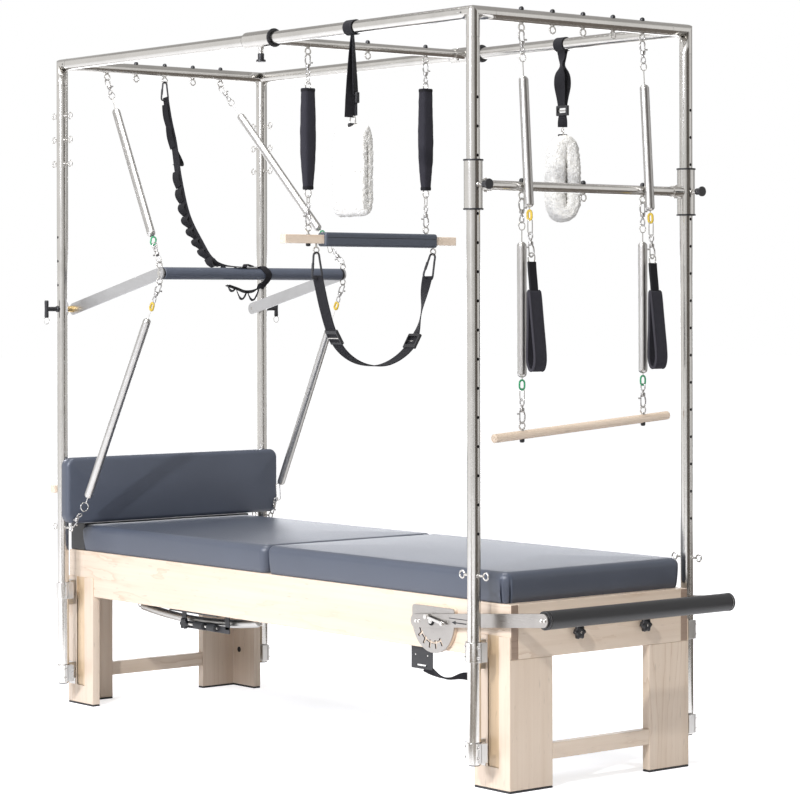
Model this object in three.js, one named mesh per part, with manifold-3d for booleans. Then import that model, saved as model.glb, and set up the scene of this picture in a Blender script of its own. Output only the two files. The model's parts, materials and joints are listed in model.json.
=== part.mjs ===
// A pilates trapeze table: a maple table with a two-part mat, and a steel tube canopy that
// carries sliding bars, a push-through bar, a foot bar, springs, straps and loops.
// Millimetres, +Z up, +X towards the foot end, +Y towards the far side.
import * as THREE from "three";
import { mergeVertices } from "three/addons/utils/BufferGeometryUtils.js";
import Module from "manifold-3d";

const wasm = await Module();
wasm.setup();

// Clearances and cut overrun
const seatGap = 0.3;
const slideGap = 0.6;
const pinGap = 0.5;
const hookGap = 0.6;
const overrun = 2;
const smallestEdge = 0.1;

// Canopy tube and post grid
const tubeDiameter = 38;
const postSpanX = 2100;
const postSpanY = 830;
const beamHeight = 2150;
const postFoot = 80;
const fittingLength = 69;
const fittingReach = 42;
const tubeRadius = tubeDiameter / 2;
const postX = postSpanX / 2;
const postY = postSpanY / 2;
const postTop = beamHeight - fittingLength;

// Wooden table
const bedBeyondPosts = 72.5;
const bedWidth = 688;
const railThickness = 28;
const railHeight = 152;
const railTop = 519;
const bedX = postX + bedBeyondPosts;
const bedY = bedWidth / 2;
const railFoot = railTop - railHeight;

// Legs, foot pads and stretchers
const legAlongX = 150;
const legAlongY = 160;
const legThickness = 28;
const legProud = 4;
const lapTop = 430;
const grooveDepth = 3;
const grooveWidth = 46;
const grooveInset = 28;
const padThickness = 6;
const stretcherFoot = 80;
const stretcherHeight = 45;
const stretcherThickness = 28;

// Mats, headboard and batten
const matTop = 612;
const matFootInset = 20.5;
const matHeadInset = 62.5;
const matSeamX = -11;
const matSeamGap = 2;
const matCorner = 34;
const matCrown = 6;
const matDrawIn = 7;
const fillerLength = 52;
const fillerTop = 600;
const fillerInset = 8;
const headboardThickness = 50;
const headboardWidth = 874;
const headboardFoot = 620;
const headboardHeight = 216;
const headboardCorner = 30;
const headboardCrown = 5;
const headboardDrawIn = 5;
const battenThickness = 25;
const battenHeight = 25;
const battenFoot = 715;
const battenBoltY = 300;
const battenBoltRadius = 4;
const matFootX = bedX - matFootInset;
const matHeadX = matHeadInset - bedX;

// Post clamps
const clampHeight = 55;
const clampUpperFoot = 362;
const clampLowerFoot = 86;
const clampWall = 9;
const clampChamfer = 9;
const clampTongueDrop = 20;
const clampScrewRadius = 4;
const clampScrewHead = 3;
const clampScrewInset = 13;
const wingThickness = 5;
const wingWidth = 44;

// Eye bolts
const eyeRing = 20;
const eyeWire = 5;
const eyeShank = 7;
const capRadius = 7;
const capHeight = 9;
const eyePitch = 118;
const postEyeStandOff = 18;
const lowEyeHeight = 600;
const highEyeDrop = 332;
const highEyePitch = 80;

// Post holes
const holePitch = 80;
const holeRadius = 4.5;
const holeDepth = 6;
const holesAbove = 3;
const lowestHole = 700;
const pivotHolesAbove = 3;

// Height-adjustable bar on the foot posts
const sliderDrop = 475;
const sliderHeight = beamHeight - sliderDrop;
const holesBelow = Math.floor((sliderHeight - lowestHole) / holePitch);
const sleeveWall = 6.5;
const sleeveLength = 140;
const bushLip = 2;
const bushLength = 4;
const crossBarDiameter = 28;
const stubDiameter = 33;
const stubLength = 36;
const stubBoltRadius = 5;
const stubBoltHead = 4;
const housingLength = 12;
const housingRadius = 9;
const pinRadius = 4;
const knobRadius = 11;
const knobLength = 22;
const knobFlange = 3;
const knobFlangeLength = 5;

// Dowel under the sliding bar, its ends at shares of the way from the mat up to that bar
const dowelDiameter = 25;
const dowelNearY = -343;
const dowelFarY = 338;
const dowelNearShare = 0.34;
const dowelFarShare = 0.384;
const dowelNearHeight = matTop + dowelNearShare * (sliderHeight - matTop);
const dowelFarHeight = matTop + dowelFarShare * (sliderHeight - matTop);

// Covered springs and their ends
const springDiameter = 26;
const springTaper = 10;
const linkLength = 50;
const linkWidth = 18;
const linkWire = 4;
const smallRing = 22;
const smallWire = 3;
const tagLength = 22;
const tagWidth = 9;

// Travelling bar on the long beams
const trolleyX = 70;

// Roll-down bar, its springs and its sling
const slatSide = 27;
const slatNearY = -323;
const slatFarY = 363;
const slatDrop = 603;
const slatHeight = beamHeight - slatDrop;
const rollSpringDiameter = 44;
const rollPadNearY = -187;
const rollPadFarY = 287;
const rollPadHeight = 47;
const slingNearY = -205;
const slingFarY = 266;
const carabinerLength = 78;
const carabinerWidth = 34;
const carabinerWire = 7;
const slingWidth = 50;
const slingThickness = 5;
const slingDrop = 393;
const slingFoot = slatHeight - slingDrop;
const buckleLength = 52;
const buckleThickness = 14;

// Push-through bar on the head posts
const pushPivotDrop = 818;
const pushPivotHeight = beamHeight - pushPivotDrop;
const pushArmY = 372;
const pushArmWidth = 40;
const pushArmThickness = 6;
const pushReach = 515;
const pushRise = 115;
const pushGripDiameter = 40;
const pushPinRadius = 6;
const pushPinStem = 44;
const pushHandleLength = 56;
const pushHandleRadius = 6;
const pushCollarRadius = 12;
const endEyeOffset = 26;

// Daisy-chain strap from the head beam to the push-through bar
const daisyWidth = 25;
const daisyThickness = 4;
const daisyHookLength = 62;
const daisyHookWidth = 24;
const daisyHookWire = 6;
const daisyDrop = 88;
const daisyTop = beamHeight - daisyDrop;

// Foot-end springs with padded hand loops
const loopSpringDiameter = 26;
const loopTieLength = 660;
const loopHeight = 250;
const loopBreadth = 56;
const loopBand = 40;
const loopThickness = 8;
const loopNeck = 30;
const loopSwing = 12;

// Fleece hanging loops on the long beams
const fleeceX = 517;
const fleeceStrapWidth = 40;
const fleeceStrapThickness = 4;
const fleeceDrop = 282;
const fleeceTop = beamHeight - fleeceDrop;
const fleeceHeight = 268;
const fleeceBreadth = 62;
const fleeceLength = 190;
const fleeceWall = 20;
const fleeceTurnAngles = [0, -32];
const fleeceSteps = 5;

// Foot bar
const footPivotInset = 243;
const footPivotHeight = 450;
const footBacking = 10;
const footPlateThickness = 4;
const footPlateRadius = 92;
const footPlateRise = 40;
const footPlateCorner = 10;
const footArmThickness = 6;
const footArmWidth = 39;
const footArmReach = 467;
const footArmTail = 92;
const footArmRise = 41;
const footGripDiameter = 51;
const footGripOverhang = 12;
const footStudRadius = 8;
const footNutRadius = 13;
const footNutLength = 5;
const notchRadius = 66;
const notchLength = 20;
const notchWidth = 7;
const notchCount = 5;
const notchFirst = 200;
const notchStep = 22;
const latchInset = 15;
const latchPinRise = 11;
const latchReach = 61;
const latchRise = 12;
const latchWidth = 9;
const latchThickness = 4;
const latchHubRadius = 7;
const latchPinRadius = 3;
const footPivotX = postX - footPivotInset;
const latchX = footPivotX - latchInset;
const latchPinHeight = footPivotHeight + latchPinRise;

// Star knobs on the foot end board
const starHeight = 428;
const starNearY = -101;
const starFarY = 159;
const starRadius = 21;
const starLobeCount = 6;
const starLobeSteps = 4;
const starDip = 4;
const starThickness = 14;
const starHubRadius = 9;
const starHubLength = 10;

// Storage bracket with its spring, and strap plate under the near rail
const bracketX = -398;
const bracketLength = 260;
const bracketDrop = 62;
const bracketThickness = 4;
const bracketArm = 22;
const bracketY = -290;
const bracketFlange = 24;
const bracketKnobRadius = 17;
const bracketKnobLength = 18;
const storedSpringDiameter = 26;
const storedSpringSag = 22;
const storedSpringHeadX = -825;
const storedSpringFootX = -120;
const strapPlateInset = 89;
const strapPlateWidth = 94;
const strapPlateDrop = 66;
const strapPlateThickness = 3;
const strapPlateY = -322;
const strapPlateFlange = 20;
const webbingWidth = 24;
const webbingThickness = 4;
const webbingStartInset = 12;
const webbingEndInset = 52.5;
const strapPlateX = footPivotX - strapPlateInset;
const webbingStart = [strapPlateX + webbingStartInset, strapPlateY, 306];
const webbingEnd = [bedX - webbingEndInset, -190, 346];

// How finely round things are faceted
const postSides = 12;
const rodSides = 10;
const smallSides = 6;
const springSides = 8;
const wireSides = 4;
const ringSteps = 8;
const linkSteps = 3;
const postRingSteps = 6;
const wrapSides = 24;
const hexSides = 6;

// Solids: closed geometry into manifolds, and the cuts and joins on them
function solid(geometry) {
  const bare = geometry.clone();
  bare.deleteAttribute("normal");
  bare.deleteAttribute("uv");
  const merged = mergeVertices(bare);
  const index = merged.getIndex();
  const triVerts = new Uint32Array(index.array);
  const vertProperties = new Float32Array(merged.getAttribute("position").array);
  return new wasm.Manifold(new wasm.Mesh({ numProp: 3, vertProperties, triVerts }));
}

function join(list) {
  return list.reduce((whole, piece) => whole.add(piece));
}

function cut(body, list) {
  return list.reduce((whole, piece) => whole.subtract(piece), body);
}

function geometryOf(body) {
  const mesh = body.getMesh();
  const geometry = new THREE.BufferGeometry();
  const corners = new Float32Array(mesh.vertProperties);
  geometry.setAttribute("position", new THREE.BufferAttribute(corners, 3));
  geometry.setIndex(new THREE.BufferAttribute(new Uint32Array(mesh.triVerts), 1));
  return geometry;
}

// Shapes placed in the table's own frame
function box(low, high) {
  const size = high.map((value, k) => value - low[k]);
  const middle = high.map((value, k) => (value + low[k]) / 2);
  const geometry = new THREE.BoxGeometry(...size);
  geometry.translate(...middle);
  return solid(geometry);
}

function vector(point) {
  return new THREE.Vector3(...point);
}

// A straight round bar from one point to another
function rod(from, to, radius, sides = rodSides, endRadius = radius) {
  const start = vector(from);
  const run = vector(to).sub(start);
  const geometry = new THREE.CylinderGeometry(endRadius, radius, run.length(), sides);
  const up = new THREE.Vector3(0, 1, 0);
  geometry.applyQuaternion(new THREE.Quaternion().setFromUnitVectors(up, run.clone().normalize()));
  geometry.translate(...start.addScaledVector(run, 1 / 2));
  return solid(geometry);
}

// A turned body: a profile of [radius, distance] pairs along a direction, closed on the axis
function turned(from, direction, profile, steps = rodSides) {
  const outline = profile.map(([radius, along]) => new THREE.Vector2(radius, along));
  const geometry = new THREE.LatheGeometry(outline, steps);
  const up = new THREE.Vector3(0, 1, 0);
  geometry.applyQuaternion(new THREE.Quaternion().setFromUnitVectors(up, vector(direction).normalize()));
  geometry.translate(...from);
  return solid(geometry);
}

// The radius whose facets clear a round bar of the given radius
function around(radius, sides = rodSides) {
  return radius / Math.cos(Math.PI / sides);
}

// A frame whose third axis runs along "along" and whose first axis lies near "across"
function frameAt(origin, along, across) {
  const third = vector(along).normalize();
  const second = third.clone().cross(vector(across)).normalize();
  const first = second.clone().cross(third);
  return new THREE.Matrix4().makeBasis(first, second, third).setPosition(...origin);
}

// A wire closed on itself: points in the first two axes of a frame
function hoop(points, wireRadius, frame, sides = wireSides) {
  const count = points.length;
  const positions = [];
  const index = [];
  points.forEach(([u, v], k) => {
    const [nu, nv] = points[(k + 1) % count];
    const [pu, pv] = points[(k + count - 1) % count];
    const outward = new THREE.Vector2(nv - pv, pu - nu).normalize();
    for (let s = 0; s < sides; s += 1) {
      const angle = (2 * Math.PI * s) / sides;
      const out = wireRadius * Math.cos(angle);
      const side = wireRadius * Math.sin(angle);
      positions.push(u + outward.x * out, v + outward.y * out, side);
    }
  });
  for (let k = 0; k < count; k += 1) {
    for (let s = 0; s < sides; s += 1) {
      const a = k * sides + s;
      const b = k * sides + ((s + 1) % sides);
      const c = ((k + 1) % count) * sides + s;
      const d = ((k + 1) % count) * sides + ((s + 1) % sides);
      index.push(a, c, b, b, c, d);
    }
  }
  const geometry = new THREE.BufferGeometry();
  geometry.setAttribute("position", new THREE.Float32BufferAttribute(positions, 3));
  geometry.setIndex(index);
  geometry.applyMatrix4(frame);
  return solid(geometry);
}

function circlePoints(radius, steps) {
  return Array.from({ length: steps }, (_, k) => {
    const angle = (2 * Math.PI * k) / steps;
    return [radius * Math.cos(angle), radius * Math.sin(angle)];
  });
}

// The centre line of a long link with round ends, centred on its own middle
function linkPoints(length, width, steps = linkSteps) {
  const radius = width / 2;
  const peak = Math.sin((Math.PI * Math.floor(steps / 2)) / steps);
  const straight = length / 2 - radius * peak;
  const points = [];
  for (const end of [1, -1]) {
    for (let k = 0; k <= steps; k += 1) {
      const angle = (Math.PI * k) / steps;
      points.push([radius * Math.cos(angle) * end, (straight + radius * Math.sin(angle)) * end]);
    }
  }
  return points;
}

// A flat outline in the first two axes of a frame, thick along the third
function slab(outline, thickness, frame, holes = []) {
  const shape = new THREE.Shape(outline.map(([u, v]) => new THREE.Vector2(u, v)));
  for (const hole of holes) {
    shape.holes.push(new THREE.Path(hole.map(([u, v]) => new THREE.Vector2(u, v))));
  }
  const geometry = new THREE.ExtrudeGeometry(shape, { depth: thickness, bevelEnabled: false });
  geometry.translate(0, 0, -thickness / 2);
  geometry.applyMatrix4(frame);
  return solid(geometry);
}

// A band of even thickness along a centre line, as a flat outline
function bandOutline(points, thickness) {
  const sideAt = (k) => {
    const before = points[Math.max(k - 1, 0)];
    const after = points[Math.min(k + 1, points.length - 1)];
    return new THREE.Vector2(before[1] - after[1], after[0] - before[0]).normalize();
  };
  const half = thickness / 2;
  const left = points.map(([u, v], k) => [u + sideAt(k).x * half, v + sideAt(k).y * half]);
  const right = points.map(([u, v], k) => [u - sideAt(k).x * half, v - sideAt(k).y * half]);
  return [...left, ...right.reverse()];
}

// A flat strap that follows a curve in space, its width always level
function strap(points, width, thickness, steps) {
  const path = new THREE.CatmullRomCurve3(points.map(vector));
  const up = new THREE.Vector3(0, 0, 1);
  const positions = [];
  for (let k = 0; k <= steps; k += 1) {
    const centre = path.getPointAt(k / steps);
    const along = path.getTangentAt(k / steps);
    const across = along.clone().cross(up).normalize();
    const out = across.clone().cross(along);
    for (const [u, v] of [[-1, -1], [1, -1], [1, 1], [-1, 1]]) {
      const corner = centre.clone().addScaledVector(across, (u * width) / 2);
      positions.push(...corner.addScaledVector(out, (v * thickness) / 2));
    }
  }
  const cornerCount = 4;
  const index = [0, 1, 2, 0, 2, 3];
  for (let k = 0; k < cornerCount * steps; k += cornerCount) {
    const ahead = k + cornerCount;
    for (let n = 0; n < cornerCount; n += 1) {
      const next = (n + 1) % cornerCount;
      index.push(k + n, ahead + n, k + next, k + next, ahead + n, ahead + next);
    }
  }
  const last = cornerCount * steps;
  index.push(last, last + 2, last + 1, last, last + 3, last + 2);
  const geometry = new THREE.BufferGeometry();
  geometry.setAttribute("position", new THREE.Float32BufferAttribute(positions, 3));
  geometry.setIndex(index);
  return solid(geometry);
}

const axisX = [1, 0, 0];
const axisY = [0, 1, 0];
const axisZ = [0, 0, 1];

// A round wire ring whose hole runs along "hole"
function ring(centre, radius, wireRadius, hole, steps = ringSteps) {
  const across = hole === axisX ? axisZ : axisX;
  return hoop(circlePoints(radius, steps), wireRadius, frameAt(centre, hole, across));
}

// A stuffed cushion: rounded plan, drawn-in sides, rounded top edge and a crown.
// Its thickness runs up the third axis of the frame, from zero.
const cushionCornerSteps = 4;
const cushionCornerShare = 0.3;
// Below the widest line: share of the draw-in, share of the shoulder height
const cushionSideShares = [[1, 0], [0.33, 0.17], [0, 0.45]];
// Above it: inset as a share of the corner, share of the shoulder height, share of the crown
const cushionTopShares = [
  [0, 0.6, 0], [0.05, 0.8, 0.02], [0.22, 0.92, 0.07], [0.7, 1, 0.23], [1.5, 1, 0.5], [3, 1, 1],
];

function cushion(length, width, thickness, corner, crown, drawIn, frame) {
  const plan = (inset) => {
    const radius = Math.max(corner - inset, corner * cushionCornerShare);
    const u = length / 2 - inset - radius;
    const v = width / 2 - inset - radius;
    const points = [];
    for (const [su, sv, turn] of [[1, 1, 0], [-1, 1, 1], [-1, -1, 2], [1, -1, 3]]) {
      for (let k = 0; k <= cushionCornerSteps; k += 1) {
        const angle = (Math.PI / 2) * (turn + k / cushionCornerSteps);
        points.push([su * u + radius * Math.cos(angle), sv * v + radius * Math.sin(angle)]);
      }
    }
    return points;
  };
  const shoulder = thickness - crown;
  const levels = [
    ...cushionSideShares.map(([inwards, up]) => [inwards * drawIn, up * shoulder]),
    ...cushionTopShares.map(([inwards, up, bulge]) => [inwards * corner, up * shoulder + bulge * crown]),
  ];
  const rows = levels.map(([inset, height]) => plan(inset).map(([u, v]) => [u, v, height]));
  const count = rows[0].length;
  const positions = rows.flat(2);
  const index = [];
  for (let level = 0; level + 1 < rows.length; level += 1) {
    for (let k = 0; k < count; k += 1) {
      const a = level * count + k;
      const b = level * count + ((k + 1) % count);
      index.push(a, b, a + count, b, b + count, a + count);
    }
  }
  const bottom = positions.length / 3;
  positions.push(0, 0, 0);
  positions.push(0, 0, thickness);
  const last = (rows.length - 1) * count;
  for (let k = 0; k < count; k += 1) {
    const next = (k + 1) % count;
    index.push(next, k, bottom);
    index.push(last + k, last + next, bottom + 1);
  }
  const geometry = new THREE.BufferGeometry();
  geometry.setAttribute("position", new THREE.Float32BufferAttribute(positions, 3));
  geometry.setIndex(index);
  geometry.applyMatrix4(frame);
  return solid(geometry);
}

// Materials
function paint(color, roughness, metalness) {
  return new THREE.MeshStandardMaterial({ color, roughness, metalness });
}

const steel = paint(0xb8b5b0, 0.22, 0.9);
const greySteel = paint(0xa7a8a9, 0.45, 0.6);
const maple = paint(0xe6cfab, 0.45, 0);
const vinyl = paint(0x565c68, 0.42, 0);
const blackPlastic = paint(0x1b1b1d, 0.5, 0);
const rubber = paint(0x26272b, 0.7, 0);
const webbing = paint(0x2a2a2e, 0.75, 0);
const fleece = paint(0xf2eee6, 0.95, 0);
const blackSteel = paint(0x2e2f33, 0.5, 0.3);

const table = new THREE.Group();

function piece(name, body, material) {
  const mesh = new THREE.Mesh(geometryOf(body.simplify(smallestEdge)), material);
  mesh.name = name;
  table.add(mesh);
  return mesh;
}

const sides = [["near", -1], ["far", 1]];
const ends = [["foot", 1], ["head", -1]];

// Side rails and end boards
for (const [side, s] of sides) {
  const [inner, outer] = [s * (bedY - railThickness), s * bedY];
  const low = [-bedX, Math.min(inner, outer), railFoot];
  piece(`rail_${side}`, box(low, [bedX, Math.max(inner, outer), railTop]), maple);
}

const starBoreDepth = railThickness / 2;
const boardY = bedY - railThickness - seatGap;
for (const [end, e] of ends) {
  const [inner, outer] = [e * (bedX - railThickness), e * bedX];
  const low = [Math.min(inner, outer), -boardY, railFoot];
  const board = box(low, [Math.max(inner, outer), boardY, railTop]);
  const starRows = end === "foot" ? [starNearY, starFarY] : [];
  const bores = starRows.map((y) => rod([bedX - starBoreDepth, y, starHeight],
    [bedX + overrun, y, starHeight], around(pinRadius + pinGap)));
  piece(`end_board_${end}`, cut(board, bores), maple);
}

// Legs: an L in plan under the rails, with a thin lap up the rail's outer face
const legOuterY = bedY + legProud;

function legPlan(e, s, along, across, thickness) {
  const flip = ([x, y]) => [e * x, s * y];
  const points = [
    [bedX, legOuterY],
    [bedX - along, legOuterY],
    [bedX - along, legOuterY - thickness],
    [bedX - thickness, legOuterY - thickness],
    [bedX - thickness, legOuterY - across],
    [bedX, legOuterY - across],
  ].map(flip);
  return e * s > 0 ? points : points.reverse();
}

function upright(points, foot, top) {
  return slab(points, top - foot, new THREE.Matrix4().makeTranslation(0, 0, (foot + top) / 2));
}

for (const [end, e] of ends) {
  for (const [side, s] of sides) {
    const plan = legPlan(e, s, legAlongX, legAlongY, legThickness);
    const board = upright(plan, padThickness + seatGap, railFoot - seatGap);
    const lapInner = bedY + seatGap;
    const lapFrom = e * (bedX - legAlongX);
    const lapLow = [Math.min(lapFrom, e * bedX), s > 0 ? lapInner : -legOuterY, railFoot - overrun];
    const lap = box(lapLow, [Math.max(lapFrom, e * bedX), s > 0 ? legOuterY : -lapInner, lapTop]);
    const centre = e * postX - grooveInset - wingWidth / 2;
    const depth = s * (legOuterY - grooveDepth);
    const outside = s * (legOuterY + overrun);
    const groove = spanBox(centre - grooveWidth / 2, centre + grooveWidth / 2, depth, outside,
      clampLowerFoot - clampTongueDrop - pinGap, lapTop + overrun);
    piece(`leg_${end}_${side}`, cut(join([board, lap]), [groove]), maple);
    piece(`foot_pad_${end}_${side}`, upright(plan, 0, padThickness), rubber);
  }
}

// Low stretchers between the legs of each end
const stretcherY = legOuterY - legAlongY - seatGap;
for (const [end, e] of ends) {
  const [inner, outer] = [e * (bedX - stretcherThickness), e * bedX];
  const low = [Math.min(inner, outer), -stretcherY, stretcherFoot];
  const high = [Math.max(inner, outer), stretcherY, stretcherFoot + stretcherHeight];
  piece(`stretcher_${end}`, box(low, high), maple);
}

// Mats on the rails, and the dark filler block that closes the head end of the head mat
function matBody(fromX, toX) {
  const frame = new THREE.Matrix4().makeTranslation((fromX + toX) / 2, 0, railTop + seatGap);
  return cushion(toX - fromX, bedWidth, matTop - railTop - seatGap, matCorner, matCrown, matDrawIn, frame);
}

const filler = box([matHeadX - fillerLength, fillerInset - bedY, railTop + seatGap],
  [matHeadX + matCorner, bedY - fillerInset, fillerTop]);
piece("mat_head", join([matBody(matHeadX, matSeamX - matSeamGap / 2), filler]), vinyl);
piece("mat_foot", matBody(matSeamX + matSeamGap / 2, matFootX), vinyl);

// Headboard cushion in front of the head posts, and the batten that holds it from behind
const headboardBack = -postX + tubeRadius + seatGap;
const headboardCentre = [headboardBack, 0, headboardFoot + headboardHeight / 2];
piece("headboard_cushion", cushion(headboardWidth, headboardHeight, headboardThickness,
  headboardCorner, headboardCrown, headboardDrawIn, frameAt(headboardCentre, axisX, axisY)), vinyl);

const battenFace = -postX - tubeRadius - seatGap;
const battenY = headboardWidth / 2;
const battenBolts = [-battenBoltY, battenBoltY].map((y) => rod(
  [battenFace - battenThickness / 2, y, battenFoot + battenHeight / 2],
  [headboardBack - seatGap, y, battenFoot + battenHeight / 2], battenBoltRadius));
const battenBar = box([battenFace - battenThickness, -battenY, battenFoot],
  [battenFace, battenY, battenFoot + battenHeight]);
piece("headboard_batten", join([battenBar, ...battenBolts]), maple);

// Eye bolt through a bar: ring below, domed cap above
const eyeDrop = eyeRing / 2 + eyeWire / 2;

function eyeBolt([x, y, z], barRadius) {
  const shank = eyeShank / 2;
  const top = barRadius + capHeight;
  return join([
    turned([x, y, z], axisZ, [
      [0, -barRadius - eyeWire], [shank, -barRadius - eyeWire], [shank, barRadius - overrun],
      [capRadius, barRadius - overrun], [capRadius, top - capHeight / 2], [capRadius / 2, top], [0, top],
    ], smallSides),
    ring([x, y, z - barRadius - eyeDrop], eyeRing / 2, eyeWire / 2, axisX),
  ]);
}

// The point on an eye bolt's ring where something hangs
function eyeSeat([x, y, z], barRadius) {
  return [x, y, z - barRadius - eyeDrop - eyeRing / 2];
}

// A through eye bolt on a post, with a ring on both sides
function postEyes(x, y, z) {
  const reach = tubeRadius + postEyeStandOff + eyeDrop;
  return join([
    rod([x - reach + eyeRing / 2, y, z], [x + reach - eyeRing / 2, y, z], eyeShank / 2, smallSides),
    ring([x - reach, y, z], eyeRing / 2, eyeWire / 2, axisY, postRingSteps),
    ring([x + reach, y, z], eyeRing / 2, eyeWire / 2, axisY, postRingSteps),
  ]);
}

// Saddle clamp round a post, with an arm to a wing plate seated in the leg's groove
function clamp(x, s, foot, tongue) {
  const half = tubeRadius + clampWall;
  const top = foot + clampHeight;
  const face = legOuterY - grooveDepth + seatGap;
  const [wingFrom, wingTo] = [x - grooveInset - wingWidth, x - grooveInset];
  const [inside, front] = [postY - half, postY + half];
  const outline = [
    [wingFrom, face], [wingTo, face], [wingTo, inside], [x + half, inside],
    [x + half, front - clampChamfer], [x + half - clampChamfer, front],
    [x - half + clampChamfer, front], [x - half, front - clampChamfer],
    [x - half, inside + clampWall], [wingTo - wingThickness, inside + clampWall],
    [wingTo - wingThickness, face + wingThickness], [wingFrom, face + wingThickness],
  ];
  const placed = outline.map(([u, v]) => [u, s * v]);
  const parts = [upright(s > 0 ? placed : placed.reverse(), foot, top)];
  if (tongue) {
    const back = s * (face + wingThickness);
    parts.push(spanBox(wingFrom, wingTo, s * face, back, foot - tongue, foot + overrun));
  }
  for (const dx of [clampScrewInset - half, half - clampScrewInset]) {
    for (const z of [foot + clampScrewInset, top - clampScrewInset]) {
      parts.push(rod([x + dx, s * (front - overrun), z], [x + dx, s * (front + clampScrewHead), z],
        clampScrewRadius, smallSides));
    }
  }
  return join(parts);
}

function spanBox(xa, xb, ya, yb, za, zb) {
  const low = [Math.min(xa, xb), Math.min(ya, yb), Math.min(za, zb)];
  const high = [Math.max(xa, xb), Math.max(ya, yb), Math.max(za, zb)];
  return box(low, high);
}

// Posts, with their clamps, eye rings and adjustment holes
for (const [end, e] of ends) {
  for (const [side, s] of sides) {
    const [x, y] = [e * postX, s * postY];
    const parts = [
      rod([x, y, postFoot], [x, y, postTop - seatGap], tubeRadius, postSides),
      clamp(x, s, clampUpperFoot, 0),
      clamp(x, s, clampLowerFoot, clampTongueDrop),
      postEyes(x, y, lowEyeHeight),
    ];
    const holes = [];
    if (end === "foot") {
      for (let k = -holesBelow; k <= holesAbove; k += 1) {
        const z = sliderHeight + k * holePitch;
        holes.push(rod([x + tubeRadius - holeDepth, y, z], [x + tubeRadius + overrun, y, z],
          holeRadius, smallSides));
      }
    } else {
      for (let k = 0; k < pivotHolesAbove; k += 1) {
        parts.push(postEyes(x, y, beamHeight - highEyeDrop + k * highEyePitch));
        const z = pushPivotHeight + (k + 1) * holePitch;
        holes.push(rod([x, y + s * (tubeRadius - holeDepth), z], [x, y + s * (tubeRadius + overrun), z],
          holeRadius, smallSides));
      }
      const bore = around(pushPinRadius + pinGap);
      const reach = tubeRadius + overrun;
      holes.push(rod([x, y - reach, pushPivotHeight], [x, y + reach, pushPivotHeight], bore));
    }
    piece(`post_${end}_${side}`, cut(join(parts), holes), steel);
  }
}

// Long beams, each with a mitred three-way fitting at both ends
function fitting(x, y, e, s) {
  const r = tubeRadius;
  const across = rod([x - r, y, beamHeight], [x + r, y, beamHeight], r, postSides);
  const along = rod([x, y - r, beamHeight], [x, y + r, beamHeight], r, postSides);
  const vertical = rod([x, y, beamHeight - r], [x, y, beamHeight + r], r, postSides);
  return join([
    across.intersect(along), along.intersect(vertical), vertical.intersect(across),
    rod([x, y, beamHeight - fittingLength], [x, y, beamHeight], r, postSides),
    rod([x, y, beamHeight], [x, y - s * fittingLength, beamHeight], r, postSides),
    rod([x, y, beamHeight], [x - e * fittingReach, y, beamHeight], r, postSides),
  ]);
}

for (const [side, s] of sides) {
  const y = s * postY;
  piece(`long_beam_${side}`, join([
    rod([-postX, y, beamHeight], [postX, y, beamHeight], tubeRadius, postSides),
    fitting(postX, y, 1, s),
    fitting(-postX, y, -1, s),
  ]), steel);
}

// Cross beams with five eye bolts each
const eyeRows = [-2, -1, 0, 1, 2].map((k) => k * eyePitch);
const outerEyes = [eyeRows.at(0), eyeRows.at(-1)];
const crossBeamY = postY - fittingLength - seatGap;
for (const [end, e] of ends) {
  const x = e * postX;
  const bar = rod([x, -crossBeamY, beamHeight], [x, crossBeamY, beamHeight], tubeRadius, postSides);
  const eyes = eyeRows.map((y) => eyeBolt([x, y, beamHeight], tubeRadius));
  piece(`cross_beam_${end}`, join([bar, ...eyes]), steel);
}

// A sleeve that slides along a tube, with a bush lip at both ends
const sleeveBore = tubeRadius + slideGap;
const sleeveRadius = tubeRadius + slideGap + sleeveWall;

function sleeve(centre, direction) {
  const at = (t, list = centre) => list.map((value, k) => value + direction[k] * t);
  const half = sleeveLength / 2;
  const lip = sleeveRadius + bushLip;
  const body = turned(centre, direction, [
    [0, -half], [lip, -half], [lip, bushLength - half], [sleeveRadius, bushLength - half],
    [sleeveRadius, half - bushLength], [lip, half - bushLength], [lip, half], [0, half],
  ], postSides);
  return { body, bore: rod(at(-half - overrun), at(half + overrun), sleeveBore, postSides) };
}

// A cross bar between two sleeves, with bolted stubs and three eye bolts
const crossBarRadius = crossBarDiameter / 2;
const barEyeRows = [-2 * eyePitch, 0, 2 * eyePitch];

function crossBar(x, z, direction) {
  const bodies = [rod([x, -postY, z], [x, postY, z], crossBarRadius)];
  const bores = [];
  for (const [, s] of sides) {
    const { body, bore } = sleeve([x, s * postY, z], direction);
    const stubEnd = s * (postY - sleeveRadius - stubLength);
    const boltY = s * (postY - sleeveRadius - stubLength / 2);
    const boltReach = stubDiameter / 2 + stubBoltHead;
    bodies.push(body);
    bodies.push(rod([x, s * postY, z], [x, stubEnd, z], stubDiameter / 2));
    bodies.push(rod([x, boltY, z - boltReach], [x, boltY, z + boltReach], stubBoltRadius, smallSides));
    bores.push(bore);
  }
  for (const y of barEyeRows) {
    bodies.push(eyeBolt([x, y, z], crossBarRadius));
  }
  return { bodies, bores };
}

// A spring pin's housing on a sleeve, and the pin with its knob
const pinBore = around(pinRadius + pinGap);

function housing(centre, direction) {
  const at = (t) => centre.map((value, k) => value + direction[k] * t);
  return {
    body: rod(at(sleeveRadius - overrun), at(sleeveRadius + housingLength), housingRadius),
    bore: rod(at(0), at(sleeveRadius + housingLength + overrun), pinBore),
  };
}

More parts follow.
